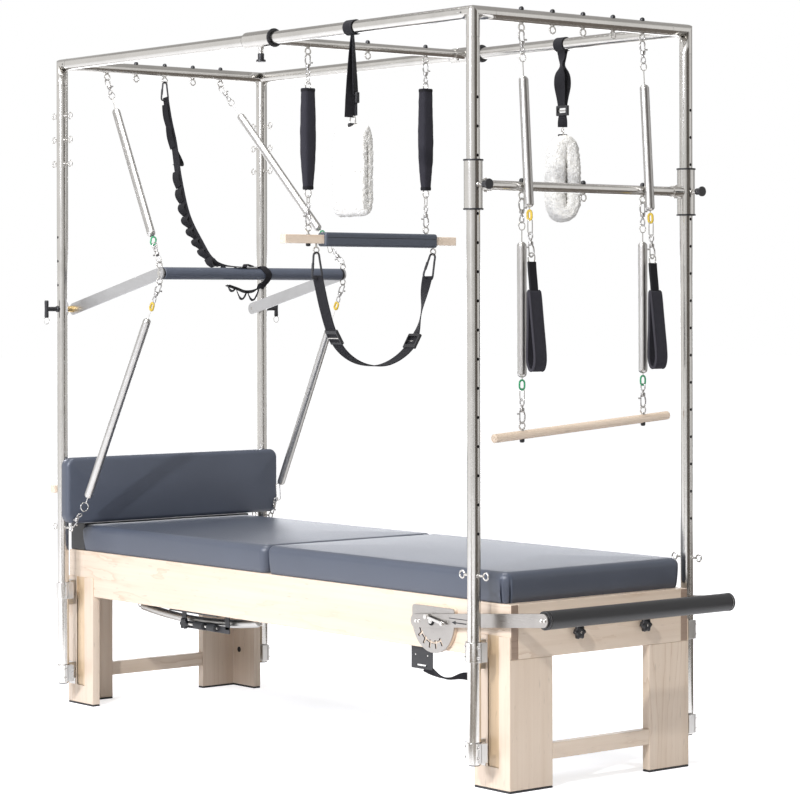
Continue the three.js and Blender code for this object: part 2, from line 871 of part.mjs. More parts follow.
function pullPin(centre, direction) {
  const tip = tubeRadius + pinGap;
  const neck = sleeveRadius + housingLength + pinGap;
  const end = neck + knobLength;
  return turned(centre, direction, [
    [0, tip], [pinRadius, tip], [pinRadius, neck], [knobRadius - knobFlange, neck],
    [knobRadius - knobFlange, end - knobFlangeLength], [knobRadius, end - knobFlangeLength],
    [knobRadius, end], [0, end],
  ]);
}

const slider = crossBar(postX, sliderHeight, axisZ);
const down = [0, 0, -1];
for (const [, s] of sides) {
  const { body, bore } = housing([postX, s * postY, sliderHeight], axisX);
  slider.bodies.push(body);
  slider.bores.push(bore);
}
piece("sliding_bar", cut(join(slider.bodies), slider.bores), steel);
for (const [side, s] of sides) {
  piece(`sliding_bar_pin_${side}`, pullPin([postX, s * postY, sliderHeight], axisX), blackPlastic);
}

const trolley = crossBar(trolleyX, beamHeight, axisX);
const trolleyHousing = housing([trolleyX, -postY, beamHeight], down);
trolley.bodies.push(trolleyHousing.body);
trolley.bores.push(trolleyHousing.bore);
piece("travelling_bar", cut(join(trolley.bodies), trolley.bores), steel);
piece("travelling_bar_pin", pullPin([trolleyX, -postY, beamHeight], down), blackPlastic);

// A link hooked over a ring's wire. "seat" is the wire's centre, "away" runs from it along the
// link, and "across" is the direction that the ring's hole faces.
function hook(seat, away, across, length, width, wire, ringWire) {
  const rise = ringWire / 2 + wire / 2 + hookGap;
  const way = vector(away).normalize();
  const middle = vector(seat).addScaledVector(way, length / 2 - rise);
  const normal = way.clone().cross(vector(across)).normalize();
  const first = way.clone().cross(normal);
  const frame = new THREE.Matrix4().makeBasis(first, way, first.clone().cross(way)).setPosition(middle);
  return hoop(linkPoints(length, width), wire / 2, frame);
}

// How far beyond its seat a hooked link ends
function hookReach(length, wire, ringWire) {
  return length - (ringWire / 2 + wire / 2 + hookGap);
}

// A covered spring hung between two ring wires, with a snap link at each end and a tag.
// coverShares says where the cover starts and stops along the run.
function coveredSpring(from, to, acrossFrom, acrossTo, diameter, coverShares) {
  const start = vector(from);
  const run = vector(to).sub(start);
  const total = run.length();
  const way = run.clone().normalize();
  const back = way.clone().negate();
  const at = (t) => start.clone().addScaledVector(way, t).toArray();
  const [coverFrom, coverTo] = coverShares.map((share) => share * total);
  const reach = hookReach(linkLength, linkWire, eyeWire);
  const radius = diameter / 2;
  const tagAt = coverTo + tagLength;
  return join([
    hook(from, way, acrossFrom, linkLength, linkWidth, linkWire, eyeWire),
    hook(to, back, acrossTo, linkLength, linkWidth, linkWire, eyeWire),
    rod(at(reach - linkWire), at(total - reach + linkWire), linkWire / 2, wireSides),
    turned(from, way.toArray(), [
      [0, coverFrom], [radius / 2, coverFrom], [radius, coverFrom + springTaper],
      [radius, coverTo - springTaper], [radius / 2, coverTo], [0, coverTo],
    ], springSides),
    rod(at(tagAt - tagLength / 2), at(tagAt + tagLength / 2), tagWidth / 2, smallSides),
  ]);
}

// Dowel under the sliding bar, and its two springs
const dowelRadius = dowelDiameter / 2;
const dowelSlope = (dowelFarHeight - dowelNearHeight) / (dowelFarY - dowelNearY);
const dowelAt = (y) => dowelNearHeight + (y - dowelNearY) * dowelSlope;
const dowelEyes = [barEyeRows[0], barEyeRows[2]];

// An eye standing on top of a bar, with a nut below it
function standingEye([x, y, z], barRadius) {
  return join([
    turned([x, y, z], axisZ, [
      [0, -barRadius - capHeight], [capRadius, -barRadius - capHeight], [capRadius, overrun - barRadius],
      [eyeShank / 2, overrun - barRadius], [eyeShank / 2, barRadius + eyeWire], [0, barRadius + eyeWire],
    ], smallSides),
    ring([x, y, z + barRadius + eyeDrop], eyeRing / 2, eyeWire / 2, axisX),
  ]);
}

function standingSeat([x, y, z], barRadius) {
  return [x, y, z + barRadius + eyeDrop + eyeRing / 2];
}

piece("dowel", join([
  rod([postX, dowelNearY, dowelNearHeight], [postX, dowelFarY, dowelFarHeight], dowelRadius),
  ...dowelEyes.map((y) => standingEye([postX, y, dowelAt(y)], dowelRadius)),
]), maple);

const dowelCoverShares = [0.19, 0.8];
sides.forEach(([side], k) => {
  const y = dowelEyes[k];
  const from = eyeSeat([postX, y, sliderHeight], crossBarRadius);
  const to = standingSeat([postX, y, dowelAt(y)], dowelRadius);
  const body = coveredSpring(from, to, axisX, axisX, springDiameter, dowelCoverShares);
  piece(`dowel_spring_${side}`, body, steel);
});

// Roll-down bar: a square slat with a padded middle, hung from the travelling bar
const slatHalf = slatSide / 2;
const rollEyes = [barEyeRows[0], barEyeRows[2]];
const slingEyes = [slingNearY, slingFarY];
const slat = box([trolleyX - slatHalf, slatNearY, slatHeight - slatHalf],
  [trolleyX + slatHalf, slatFarY, slatHeight + slatHalf]);
const rollPad = box([trolleyX - rollPadHeight / 2, rollPadNearY, slatHeight - rollPadHeight / 2],
  [trolleyX + rollPadHeight / 2, rollPadFarY, slatHeight + rollPadHeight / 2]);
piece("roll_down_bar", join([
  slat, rollPad,
  ...rollEyes.map((y) => standingEye([trolleyX, y, slatHeight], rollPadHeight / 2)),
  ...slingEyes.map((y) => hangingEye([trolleyX, y, slatHeight], rollPadHeight / 2)),
]), maple);

// An eye under a bar, for a carabiner
function hangingEye([x, y, z], barRadius) {
  return join([
    rod([x, y, z], [x, y, z - barRadius - eyeWire], eyeShank / 2, smallSides),
    ring([x, y, z - barRadius - eyeDrop], eyeRing / 2, eyeWire / 2, axisX),
  ]);
}

const rollCoverShares = [0.16, 0.8];
sides.forEach(([side], k) => {
  const y = rollEyes[k];
  const from = eyeSeat([trolleyX, y, beamHeight], crossBarRadius);
  const to = standingSeat([trolleyX, y, slatHeight], rollPadHeight / 2);
  const body = coveredSpring(from, to, axisX, axisX, rollSpringDiameter, rollCoverShares);
  piece(`roll_down_spring_${side}`, body, webbing);
});

// Sling under the roll-down bar: two carabiners, webbing and two buckles in one hanging curve
const slingTop = eyeSeat([trolleyX, slingNearY, slatHeight], rollPadHeight / 2)[2]
  - hookReach(carabinerLength, carabinerWire, eyeWire) + carabinerWire;
const slingDepth = slingTop - slingFoot;
const slingMiddle = (slingNearY + slingFarY) / 2;
const slingSpan = (slingFarY - slingNearY) / 2;
const slingAcrossShares = [
  -1, -0.94, -0.86, -0.76, -0.62, -0.42, -0.18, 0.1, 0.36, 0.58, 0.74, 0.86, 0.94, 1,
];
const slingDropShares = [0, 0.16, 0.37, 0.6, 0.79, 0.92, 0.99, 1, 0.93, 0.8, 0.61, 0.38, 0.17, 0];
const slingLine = slingAcrossShares.map((share, k) =>
  [slingMiddle + share * slingSpan, slingTop - slingDropShares[k] * slingDepth]);
const acrossFrame = frameAt([trolleyX, 0, 0], axisX, axisY);
const buckleSteps = [3, 10];
const buckles = buckleSteps.map((k) => {
  const [ya, za] = slingLine[k];
  const [yb, zb] = slingLine[k + 1];
  const along = new THREE.Vector2(yb - ya, zb - za).setLength(buckleLength);
  const line = [[ya, za], [ya + along.x, za + along.y]];
  return slab(bandOutline(line, buckleThickness), slingWidth + carabinerWire, acrossFrame);
});
piece("sling", join([
  slab(bandOutline(slingLine, slingThickness), slingWidth, acrossFrame),
  ...slingEyes.map((y) => hook(eyeSeat([trolleyX, y, slatHeight], rollPadHeight / 2), down, axisX,
    carabinerLength, carabinerWidth, carabinerWire, eyeWire)),
  ...buckles,
]), webbing);

// Push-through bar: two flat arms on pivot pins, a padded bar and an eye above and below each end
const pushEndX = -postX + pushReach;
const pushEndHeight = pushPivotHeight + pushRise;

function armOutline(length, width) {
  const radius = width / 2;
  const points = [];
  for (let k = 0; k <= rodSides / 2; k += 1) {
    const angle = (Math.PI * k) / (rodSides / 2);
    points.push([length + radius * Math.sin(angle), -radius * Math.cos(angle)]);
  }
  for (let k = 0; k <= rodSides / 2; k += 1) {
    const angle = (Math.PI * k) / (rodSides / 2);
    points.push([-radius * Math.sin(angle), radius * Math.cos(angle)]);
  }
  return points;
}

function armFrame(x, y, z, dx, dz) {
  const first = new THREE.Vector3(dx, 0, dz).normalize();
  const third = new THREE.Vector3(0, -1, 0);
  return new THREE.Matrix4().makeBasis(first, third.clone().cross(first), third).setPosition(x, y, z);
}

const pushArmLength = Math.hypot(pushReach, pushRise);
const pushParts = [
  rod([pushEndX, -pushArmY, pushEndHeight], [pushEndX, pushArmY, pushEndHeight], pushGripDiameter / 2),
];
const pushBores = [];
for (const [, s] of sides) {
  const y = s * pushArmY;
  const outline = armOutline(pushArmLength, pushArmWidth);
  const frame = armFrame(-postX, y, pushPivotHeight, pushReach, pushRise);
  pushParts.push(slab(outline, pushArmThickness, frame));
  const hubOuter = s * (postY - tubeRadius - pinGap);
  pushParts.push(rod([-postX, y, pushPivotHeight], [-postX, hubOuter, pushPivotHeight], pushCollarRadius));
  const eyeY = y + s * pushArmThickness / 2;
  for (const up of [1, -1]) {
    const z = pushEndHeight + up * endEyeOffset;
    pushParts.push(ring([pushEndX, eyeY, z], eyeRing / 2, eyeWire / 2, axisX, postRingSteps));
  }
  pushBores.push(rod([-postX, y - s * pushArmThickness, pushPivotHeight],
    [-postX, s * postY, pushPivotHeight], around(pushPinRadius + pinGap)));
}
piece("push_through_bar", cut(join(pushParts), pushBores), greySteel);

for (const [side, s] of sides) {
  const inner = s * (pushArmY - pushArmThickness / 2);
  const outer = s * (postY + tubeRadius + pushPinStem);
  const collar = s * (postY + tubeRadius + pinGap);
  const tip = [-postX, outer, pushPivotHeight];
  piece(`push_bar_pin_${side}`, join([
    rod([-postX, inner, pushPivotHeight], tip, pushPinRadius),
    rod([-postX, collar, pushPivotHeight], tip, pushHandleRadius + eyeWire / 2),
    rod([-postX, outer, pushPivotHeight - pushHandleLength / 2],
      [-postX, outer, pushPivotHeight + pushHandleLength / 2], pushHandleRadius),
    ring([-postX, outer, pushPivotHeight - (pushHandleLength + smallRing) / 2],
      smallRing / 2, smallWire / 2, axisX),
  ]), blackPlastic);
}

// Springs that balance the push-through bar: two up to the head beam, two down to the posts
const upperCoverShares = [0.19, 0.79];
const lowerCoverShares = [0.21, 0.87];
sides.forEach(([side, s], k) => {
  const eyeY = s * (pushArmY + pushArmThickness / 2);
  const barTop = [pushEndX, eyeY, pushEndHeight + endEyeOffset + eyeRing / 2];
  const barFoot = [pushEndX, eyeY, pushEndHeight - endEyeOffset - eyeRing / 2];
  const beamSeat = eyeSeat([-postX, outerEyes[k], beamHeight], tubeRadius);
  const postRing = [-postX + tubeRadius + postEyeStandOff + eyeDrop, s * postY, lowEyeHeight];
  const lean = new THREE.Vector2(barFoot[0] - postRing[0], barFoot[2] - postRing[2]).setLength(eyeRing / 2);
  const postSeat = [postRing[0] + lean.x, postRing[1], postRing[2] + lean.y];
  const upper = coveredSpring(beamSeat, barTop, axisX, axisX, springDiameter, upperCoverShares);
  const lower = coveredSpring(barFoot, postSeat, axisX, axisY, springDiameter, lowerCoverShares);
  piece(`push_upper_spring_${side}`, upper, steel);
  piece(`push_lower_spring_${side}`, lower, steel);
});

// Daisy-chain strap: carabiner on the middle eye of the head beam, then down to the push-through bar
const daisyEnd = pushEndHeight + pushGripDiameter / 2 + daisyThickness / 2 + slideGap;
// Shares of the way to the push-through bar along X, of its arm's Y, and of the drop
const daisyShares = [
  [0, 0.01, 0], [0.035, 0.015, 0.13], [0.11, 0, 0.28], [0.27, -0.1, 0.49], [0.48, -0.21, 0.71],
  [0.7, -0.28, 0.87], [0.85, -0.33, 0.955], [0.94, -0.31, 0.985], [1, -0.2, 0.999], [1, 0.06, 1],
];
const daisyRoute = daisyShares.map(([along, across, drop]) =>
  [-postX + along * pushReach, across * pushArmY, daisyTop + drop * (daisyEnd - daisyTop)]);
const daisySteps = 20;
piece("daisy_strap", join([
  hook(eyeSeat([-postX, 0, beamHeight], tubeRadius), down, axisX,
    daisyHookLength, daisyHookWidth, daisyHookWire, eyeWire),
  strap(daisyRoute, daisyWidth, daisyThickness, daisySteps),
]), webbing);

// Foot-end springs with their hand loops. They lean on the sliding bar and share its eye rows.
const loopDrop = eyeSeat([postX, 0, beamHeight], tubeRadius)[2] - sliderHeight;
const leanAngle = Math.asin((crossBarRadius + loopSpringDiameter / 2 + seatGap) / loopDrop);
const leanWay = [Math.sin(leanAngle), 0, -Math.cos(leanAngle)];
const loopCoverShares = [0.21, 0.77];
sides.forEach(([side], k) => {
  const from = eyeSeat([postX, outerEyes[k], beamHeight], tubeRadius);
  const along = (t) => from.map((value, n) => value + leanWay[n] * t);
  const to = along(loopTieLength);
  const body = coveredSpring(from, to, axisX, axisX, loopSpringDiameter, loopCoverShares);
  piece(`loop_spring_${side}`, body, steel);
  const ringCentre = along(loopTieLength + eyeRing / 2);
  const neckTop = along(loopTieLength + eyeRing - eyeWire);
  const loopTop = along(loopTieLength + eyeRing + loopNeck);
  const middle = [loopTop[0] + loopSwing, loopTop[1], loopTop[2] - loopHeight / 2 + loopThickness];
  const frame = frameAt(middle, axisY, axisX);
  const outer = linkPoints(loopHeight, loopBreadth);
  const inner = linkPoints(loopHeight - 2 * loopThickness, loopBreadth - 2 * loopThickness);
  const neckLow = [neckTop[0] - loopThickness, neckTop[1] - loopBand / 2, loopTop[2] - loopThickness / 2];
  const neckHigh = [neckTop[0] + loopThickness, neckTop[1] + loopBand / 2, neckTop[2]];
  piece(`hand_loop_${side}`, join([
    slab(outer, loopBand, frame, [inner]),
    box(neckLow, neckHigh),
    ring(ringCentre, eyeRing / 2, eyeWire / 2, axisX),
  ]), webbing);
});

// Fleece hanging loops: a strap round the long beam, a strap down and a soft closed sleeve
sides.forEach(([side, s], k) => {
  const y = s * postY;
  const wrapInner = around(tubeRadius + seatGap, wrapSides);
  const half = fleeceStrapWidth / 2;
  const wrapAt = (reach, radius) => rod([fleeceX - reach, y, beamHeight], [fleeceX + reach, y, beamHeight],
    radius, wrapSides);
  const wrap = cut(wrapAt(half, wrapInner + fleeceStrapThickness), [wrapAt(half + overrun, wrapInner)]);
  const strapLow = [fleeceX - half, y - fleeceStrapThickness, fleeceTop - fleeceWall / 2];
  const strapTop = beamHeight - wrapInner - fleeceStrapThickness / 2;
  const strapHigh = [fleeceX + half, y + fleeceStrapThickness, strapTop];
  const turn = THREE.MathUtils.degToRad(fleeceTurnAngles[k]);
  const opening = [Math.cos(turn), Math.sin(turn), 0];
  const frame = frameAt([fleeceX, y, fleeceTop - fleeceHeight / 2], opening, axisY);
  const outer = linkPoints(fleeceHeight, fleeceBreadth, fleeceSteps);
  const inner = linkPoints(fleeceHeight - 2 * fleeceWall, fleeceBreadth - 2 * fleeceWall, fleeceSteps);
  piece(`fleece_loop_${side}`, join([
    wrap, box(strapLow, strapHigh),
    slab(outer, fleeceLength, frame, [inner]),
  ]), fleece);
});

// Foot bar plates: a notched steel plate on a wooden backing, with the pivot stud
const footBackingY = bedY + seatGap;
const footPlateY = footBackingY + footBacking;
const footArmY = footPlateY + footPlateThickness + pinGap;

function plateOutline() {
  const points = [];
  const steps = rodSides;
  for (let k = 0; k <= steps; k += 1) {
    const angle = Math.PI + (Math.PI * k) / steps;
    points.push([footPlateRadius * Math.cos(angle), footPlateRadius * Math.sin(angle)]);
  }
  points.push([footPlateRadius, footPlateRise - footPlateCorner]);
  points.push([footPlateRadius - footPlateCorner, footPlateRise]);
  points.push([footPlateCorner - footPlateRadius, footPlateRise]);
  points.push([-footPlateRadius, footPlateRise - footPlateCorner]);
  return points;
}

function notchOutline(angle) {
  const [c, n] = [Math.cos(angle), Math.sin(angle)];
  const corners = [[-1, -1], [1, -1], [1, 1], [-1, 1]];
  return corners.map(([u, v]) => {
    const radial = notchRadius + (u * notchLength) / 2;
    const side = (v * notchWidth) / 2;
    return [radial * c - side * n, radial * n + side * c];
  });
}

for (const [side, s] of sides) {
  const faceOn = (y) => new THREE.Matrix4().makeBasis(
    new THREE.Vector3(1, 0, 0), new THREE.Vector3(0, 0, 1), new THREE.Vector3(0, -1, 0),
  ).setPosition(footPivotX, s * y, footPivotHeight);
  const notches = Array.from({ length: notchCount }, (_, k) =>
    notchOutline(THREE.MathUtils.degToRad(notchFirst + k * notchStep)));
  const backing = slab(plateOutline(), footBacking, faceOn(footBackingY + footBacking / 2));
  const plateMiddle = footPlateY + footPlateThickness / 2;
  const plate = slab(plateOutline(), footPlateThickness, faceOn(plateMiddle), notches);
  const nutY = footArmY + footArmThickness + pinGap;
  const stud = rod([footPivotX, s * (footPlateY + overrun), footPivotHeight],
    [footPivotX, s * (nutY + footNutLength), footPivotHeight], footStudRadius);
  const nut = rod([footPivotX, s * nutY, footPivotHeight],
    [footPivotX, s * (nutY + footNutLength), footPivotHeight], footNutRadius, hexSides);
  piece(`foot_bar_plate_${side}`, join([backing, plate, stud, nut]), steel);
}

// Foot bar: two flat arms and a padded bar
const footArmLength = Math.hypot(footArmReach, footArmRise);
const footGripX = footPivotX + footArmReach;
const footGripHeight = footPivotHeight + footArmRise;
const footArmMiddle = footArmY + footArmThickness / 2;
const footGripY = footArmY + footArmThickness + footGripOverhang;
const footParts = [
  rod([footGripX, -footGripY, footGripHeight], [footGripX, footGripY, footGripHeight],
    footGripDiameter / 2, postSides),
];
const footBores = [];
const footStudBore = around(footStudRadius + pinGap);
for (const [, s] of sides) {
  const frame = armFrame(footPivotX, s * footArmMiddle, footPivotHeight, footArmReach, footArmRise);
  const back = footArmTail - footArmWidth / 2;
  const outline = armOutline(footArmLength + back, footArmWidth).map(([u, v]) => [u - back, v]);
  footParts.push(slab(outline, footArmThickness, frame));
  footBores.push(rod([footPivotX, s * (footArmY - overrun), footPivotHeight],
    [footPivotX, s * (footArmY + footArmThickness + overrun), footPivotHeight], footStudBore));
}
const latchY = footArmY + footArmThickness + pinGap + footNutLength + seatGap;
const latchPin = rod([latchX, -footArmMiddle, latchPinHeight],
  [latchX, -(latchY + latchThickness + overrun), latchPinHeight], latchPinRadius);
piece("foot_bar", join([cut(join(footParts), footBores), latchPin]), greySteel);

// Latch lever on the near arm, turning on its own pin
const latchPlane = armFrame(latchX, -(latchY + latchThickness / 2), latchPinHeight, latchReach, latchRise);
const latchBore = rod([latchX, -latchY + overrun, latchPinHeight],
  [latchX, -(latchY + latchThickness + overrun), latchPinHeight], around(latchPinRadius + pinGap));
const latchHub = rod([latchX, -latchY, latchPinHeight],
  [latchX, -(latchY + latchThickness), latchPinHeight], latchHubRadius);
const latchLength = Math.hypot(latchReach, latchRise);
const latchLever = slab(armOutline(latchLength, latchWidth), latchThickness, latchPlane);
piece("foot_bar_latch", cut(join([latchLever, latchHub]), [latchBore]), steel);

// Star knobs on the foot end board
function starOutline(radius, dip) {
  const steps = starLobeCount * starLobeSteps;
  return Array.from({ length: steps }, (_, k) => {
    const angle = (2 * Math.PI * k) / steps;
    const reach = radius - (dip / 2) * (1 - Math.cos(starLobeCount * angle));
    return [reach * Math.cos(angle), reach * Math.sin(angle)];
  });
}

[starNearY, starFarY].forEach((y, k) => {
  const face = bedX + seatGap;
  const middle = face + starHubLength + starThickness / 2;
  piece(`star_knob_${sides[k][0]}`, join([
    rod([bedX - starBoreDepth / 2, y, starHeight], [face + starHubLength, y, starHeight], pinRadius),
    rod([face, y, starHeight], [face + starHubLength + overrun, y, starHeight], starHubRadius),
    slab(starOutline(starRadius, starDip), starThickness, frameAt([middle, y, starHeight], axisX, axisY)),
  ]), blackPlastic);
});

// Storage bracket under the near rail, with its knob and rollers and the spring kept in it
const bracketTop = railFoot - seatGap;
const bracketFrom = bracketX - bracketLength / 2;
const bracketTo = bracketX + bracketLength / 2;
const bracketFaceY = bracketY - bracketThickness;
const bracketPlate = cut(
  box([bracketFrom, bracketFaceY, bracketTop - bracketDrop], [bracketTo, bracketY, bracketTop]),
  [box([bracketFrom + bracketArm, bracketFaceY - overrun, bracketTop - bracketDrop + bracketArm],
    [bracketTo - bracketArm, bracketY + overrun, bracketTop - bracketThickness])]);
const rodHeight = bracketTop - bracketDrop + bracketArm / 2;
const rodFrontY = bracketFaceY - bracketKnobLength;
const springHeight = bracketTop - bracketThickness - storedSpringDiameter / 2 - seatGap;
const springSteps = 12;
const springY = bracketY + bracketFlange / 2 + storedSpringDiameter / 2;
const storedLine = Array.from({ length: springSteps + 1 }, (_, k) => {
  const share = k / springSteps;
  const x = storedSpringHeadX + share * (storedSpringFootX - storedSpringHeadX);
  return [x, springHeight - storedSpringSag * 4 * share * (1 - share)];
});
const storedTube = new THREE.CatmullRomCurve3(storedLine.map(([x, z]) => new THREE.Vector3(x, springY, z)));
const storedSection = new THREE.Shape(circlePoints(storedSpringDiameter / 2, springSides)
  .map(([u, v]) => new THREE.Vector2(u, v)));
const storedSpring = solid(new THREE.ExtrudeGeometry(storedSection,
  { steps: springSteps, extrudePath: storedTube, bevelEnabled: false }));
const springCradle = box([bracketX - bracketArm, bracketY - bracketThickness, bracketTop - bracketDrop],
  [bracketX + bracketArm, springY + storedSpringDiameter / 2, bracketTop - bracketDrop + bracketArm]);
piece("storage_bracket", join([
  bracketPlate,
  box([bracketFrom, -bedY, bracketTop - bracketThickness], [bracketTo, bracketY + bracketFlange, bracketTop]),
  rod([bracketFrom + bracketArm, bracketY, rodHeight], [bracketFrom + bracketArm, rodFrontY, rodHeight],
    bracketKnobRadius),
  springCradle,
  storedSpring,
]), blackSteel);

// Strap plate under the near rail, with its twisted webbing
const strapFrom = strapPlateX - strapPlateWidth / 2;
const strapTo = strapPlateX + strapPlateWidth / 2;
// Shares of the way from start to end along X, Y and Z
const webbingShares = [
  [0, 0, 0], [0.18, 0.08, -0.5], [0.44, 0.24, -0.35], [0.74, 0.62, 0.3], [1, 1, 1],
];
const webbingRoute = webbingShares.map((shares) =>
  shares.map((share, k) => webbingStart[k] + share * (webbingEnd[k] - webbingStart[k])));
const webbingSteps = 12;
piece("strap_plate", join([
  box([strapFrom, strapPlateY - strapPlateThickness, bracketTop - strapPlateDrop],
    [strapTo, strapPlateY, bracketTop]),
  box([strapFrom, strapPlateY - strapPlateThickness, bracketTop - strapPlateThickness],
    [strapTo, strapPlateY + strapPlateFlange, bracketTop]),
  strap(webbingRoute, webbingWidth, webbingThickness, webbingSteps),
]), blackSteel);

// The origin stands under the middle of the whole table
const footExtent = footGripX + footGripDiameter / 2;
const headExtent = -Math.max(bedX, battenThickness - battenFace);
const middleX = (footExtent + headExtent) / 2;
table.position.x = -middleX;

export default table;
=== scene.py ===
import json
import math
from contextlib import contextmanager

import bmesh
import bpy
from mathutils import Matrix, Vector, noise

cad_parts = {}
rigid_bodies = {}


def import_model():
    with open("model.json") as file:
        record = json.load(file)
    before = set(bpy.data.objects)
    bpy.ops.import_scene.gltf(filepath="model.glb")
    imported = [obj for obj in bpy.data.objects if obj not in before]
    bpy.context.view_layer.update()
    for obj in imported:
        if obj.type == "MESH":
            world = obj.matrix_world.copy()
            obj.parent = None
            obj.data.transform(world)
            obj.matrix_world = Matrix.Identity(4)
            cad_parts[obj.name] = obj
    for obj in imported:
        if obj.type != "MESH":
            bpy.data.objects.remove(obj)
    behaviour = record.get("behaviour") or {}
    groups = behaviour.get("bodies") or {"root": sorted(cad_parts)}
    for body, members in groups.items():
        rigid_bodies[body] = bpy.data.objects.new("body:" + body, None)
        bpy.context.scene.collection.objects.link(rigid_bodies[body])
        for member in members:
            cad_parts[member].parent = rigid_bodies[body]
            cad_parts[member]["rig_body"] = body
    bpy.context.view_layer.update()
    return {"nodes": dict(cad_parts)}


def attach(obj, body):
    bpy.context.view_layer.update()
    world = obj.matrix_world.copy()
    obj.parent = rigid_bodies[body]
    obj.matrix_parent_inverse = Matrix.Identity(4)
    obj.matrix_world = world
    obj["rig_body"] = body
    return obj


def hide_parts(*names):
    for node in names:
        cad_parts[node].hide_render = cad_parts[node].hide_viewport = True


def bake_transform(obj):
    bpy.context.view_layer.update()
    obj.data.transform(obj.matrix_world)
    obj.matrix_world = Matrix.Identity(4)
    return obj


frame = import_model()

bl_info = {
    "name": "Pilates Trapeze Table",
    "version": (1, 0, 0),
    "blender": (4, 5, 0),
    "location": "View3D > Sidebar > Trapeze Table",
    "description": "Builds the finished pieces of a pilates trapeze table on its frame",
    "category": "Object",
}

# Places and sizes in metres. The canopy's middle stands at MIDDLE along X.
X = Vector((1, 0, 0))
Y = Vector((0, 1, 0))
Z = Vector((0, 0, 1))
MIDDLE = -0.0885
TUBE = 0.019
POST_X = 1.05
POST_Y = 0.415
POST_FOOT = 0.08
POST_TOP = 2.0807
BEAM = 2.15
FITTING = 0.069
FITTING_ALONG = 0.042
HOLE_RADIUS = 0.0045
HOLE_PITCH = 0.08
EYE = 0.01
EYE_WIRE = 0.0025
EYE_PITCH = 0.118
LOW_EYE = 0.6
HIGH_EYE = 1.818
EYE_STAND_OFF = 0.018
EYE_DROP = 0.0125
BED_X = 1.1225
BED_Y = 0.344
BOARD = 0.028
RAIL_FOOT = 0.367
RAIL_TOP = 0.519
LOW_RAIL = (0.08, 0.125)
MAT_TOP = 0.612
LEG_Y = 0.348
LEG_ALONG_X = 0.15
LEG_ALONG_Y = 0.16
PAD = 0.006
LAP_TOP = 0.43
SLIDER = 1.675
CROSS_BAR = 0.014
SLEEVE = 0.0261
SLEEVE_LENGTH = 0.14
TROLLEY_X = 0.07
DOWEL = 0.0125
DOWEL_ENDS = ((-0.343, 0.9734), (0.338, 1.0202))
SLAT = 1.547
SLAT_HALF = 0.0135
ROLL_PAD_HALF = 0.0235
PIVOT = 1.332
PUSH_Y = 0.372
PUSH_REACH = 0.515
PUSH_RISE = 0.115
PUSH_GRIP = 0.02
FOOT_PIVOT_X = 0.807
FOOT_PIVOT_Z = 0.45
FOOT_REACH = 0.467
FOOT_RISE = 0.041
FOOT_ARM_Y = 0.3588
FOOT_GRIP = 0.0255
HOOK_LENGTH = 0.072
WINDING_RELIEF = 0.07
SPRING_TAPER = 0.012
SPRING_RADIUS = 0.013
SIDES = {"near": -1, "far": 1}
ENDS = {"foot": 1, "head": -1}
SEAM = 0.0003
TINY = 0.00001
LONG_EDGE = 0.001
# The camera's line of sight, level, and the way to its right
EYE_LINE = Vector((0.7726, -0.6349, 0))
EYE_RIGHT = Vector((0.6349, 0.7726, 0))


def at(x, y, z):
    """A point of the canopy's own frame in the table's frame."""
    return Vector((x + MIDDLE, y, z))


# Working by hand: selecting, placing and shaping
def deselect():
    if bpy.context.mode != "OBJECT":
        bpy.ops.object.mode_set(mode="OBJECT")
    bpy.ops.object.select_all(action="DESELECT")


def only(piece):
    deselect()
    piece.select_set(True)
    bpy.context.view_layer.objects.active = piece


@contextmanager
def editing(piece):
    only(piece)
    bpy.ops.object.mode_set(mode="EDIT")
    yield
    bpy.ops.object.mode_set(mode="OBJECT")


def choose(piece, kind, rule):
    """Selects the corners, edges or faces of the edited piece that meet a rule."""
    bpy.ops.mesh.select_mode(type=kind)
    bpy.ops.mesh.select_all(action="DESELECT")
    shape = bmesh.from_edit_mesh(piece.data)
    parts = {"VERT": shape.verts, "EDGE": shape.edges, "FACE": shape.faces}[kind]
    for part in parts:
        if rule(part):
            part.select_set(True)
    shape.select_flush_mode()
    bmesh.update_edit_mesh(piece.data)


def settle(piece):
    only(piece)
    bpy.ops.object.transform_apply(location=True, rotation=True, scale=True)
    return piece


def placed(origin, first, second, third):
    """The place of a thing whose own X, Y and Z are to run along three ways."""
    return Matrix.Translation(origin) @ Matrix((first, second, third)).transposed().to_4x4()


def stand(piece, origin, third, second=None):
    """Puts a piece modelled along Z at origin, its Z along third and its Y near second."""
    third = Vector(third).normalized()
    if second is None:
        second = X if abs(third.x) < 0.9 else Y
    first = Vector(second).cross(third).normalized()
    piece.matrix_world = placed(origin, first, third.cross(first), third)
    return settle(piece)


def outward(piece):
    """Turns all the faces of a piece outward."""
    with editing(piece):
        bpy.ops.mesh.select_all(action="SELECT")
        bpy.ops.mesh.normals_make_consistent(inside=False)
    return piece


def rounded(piece, width, segments=2, angle=30):
    only(piece)
    bevel = piece.modifiers.new("Rounding", "BEVEL")
    bevel.width = width
    bevel.segments = segments
    bevel.limit_method = "ANGLE"
    bevel.angle_limit = math.radians(angle)
    bpy.ops.object.modifier_apply(modifier=bevel.name)
    return piece


def smooth(piece, angle=35):
    """Smooth shading whose normals lean on the large faces, so that long tubes and flats mirror true."""
    only(piece)
    bpy.ops.object.shade_smooth_by_angle(angle=math.radians(angle))
    weighted = piece.modifiers.new("Weighted normals", "WEIGHTED_NORMAL")
    weighted.keep_sharp = True
    bpy.ops.object.modifier_apply(modifier=weighted.name)
    return piece


def painted(piece, finish):
    piece.data.materials.clear()
    piece.data.materials.append(bpy.data.materials[finish])
    return piece


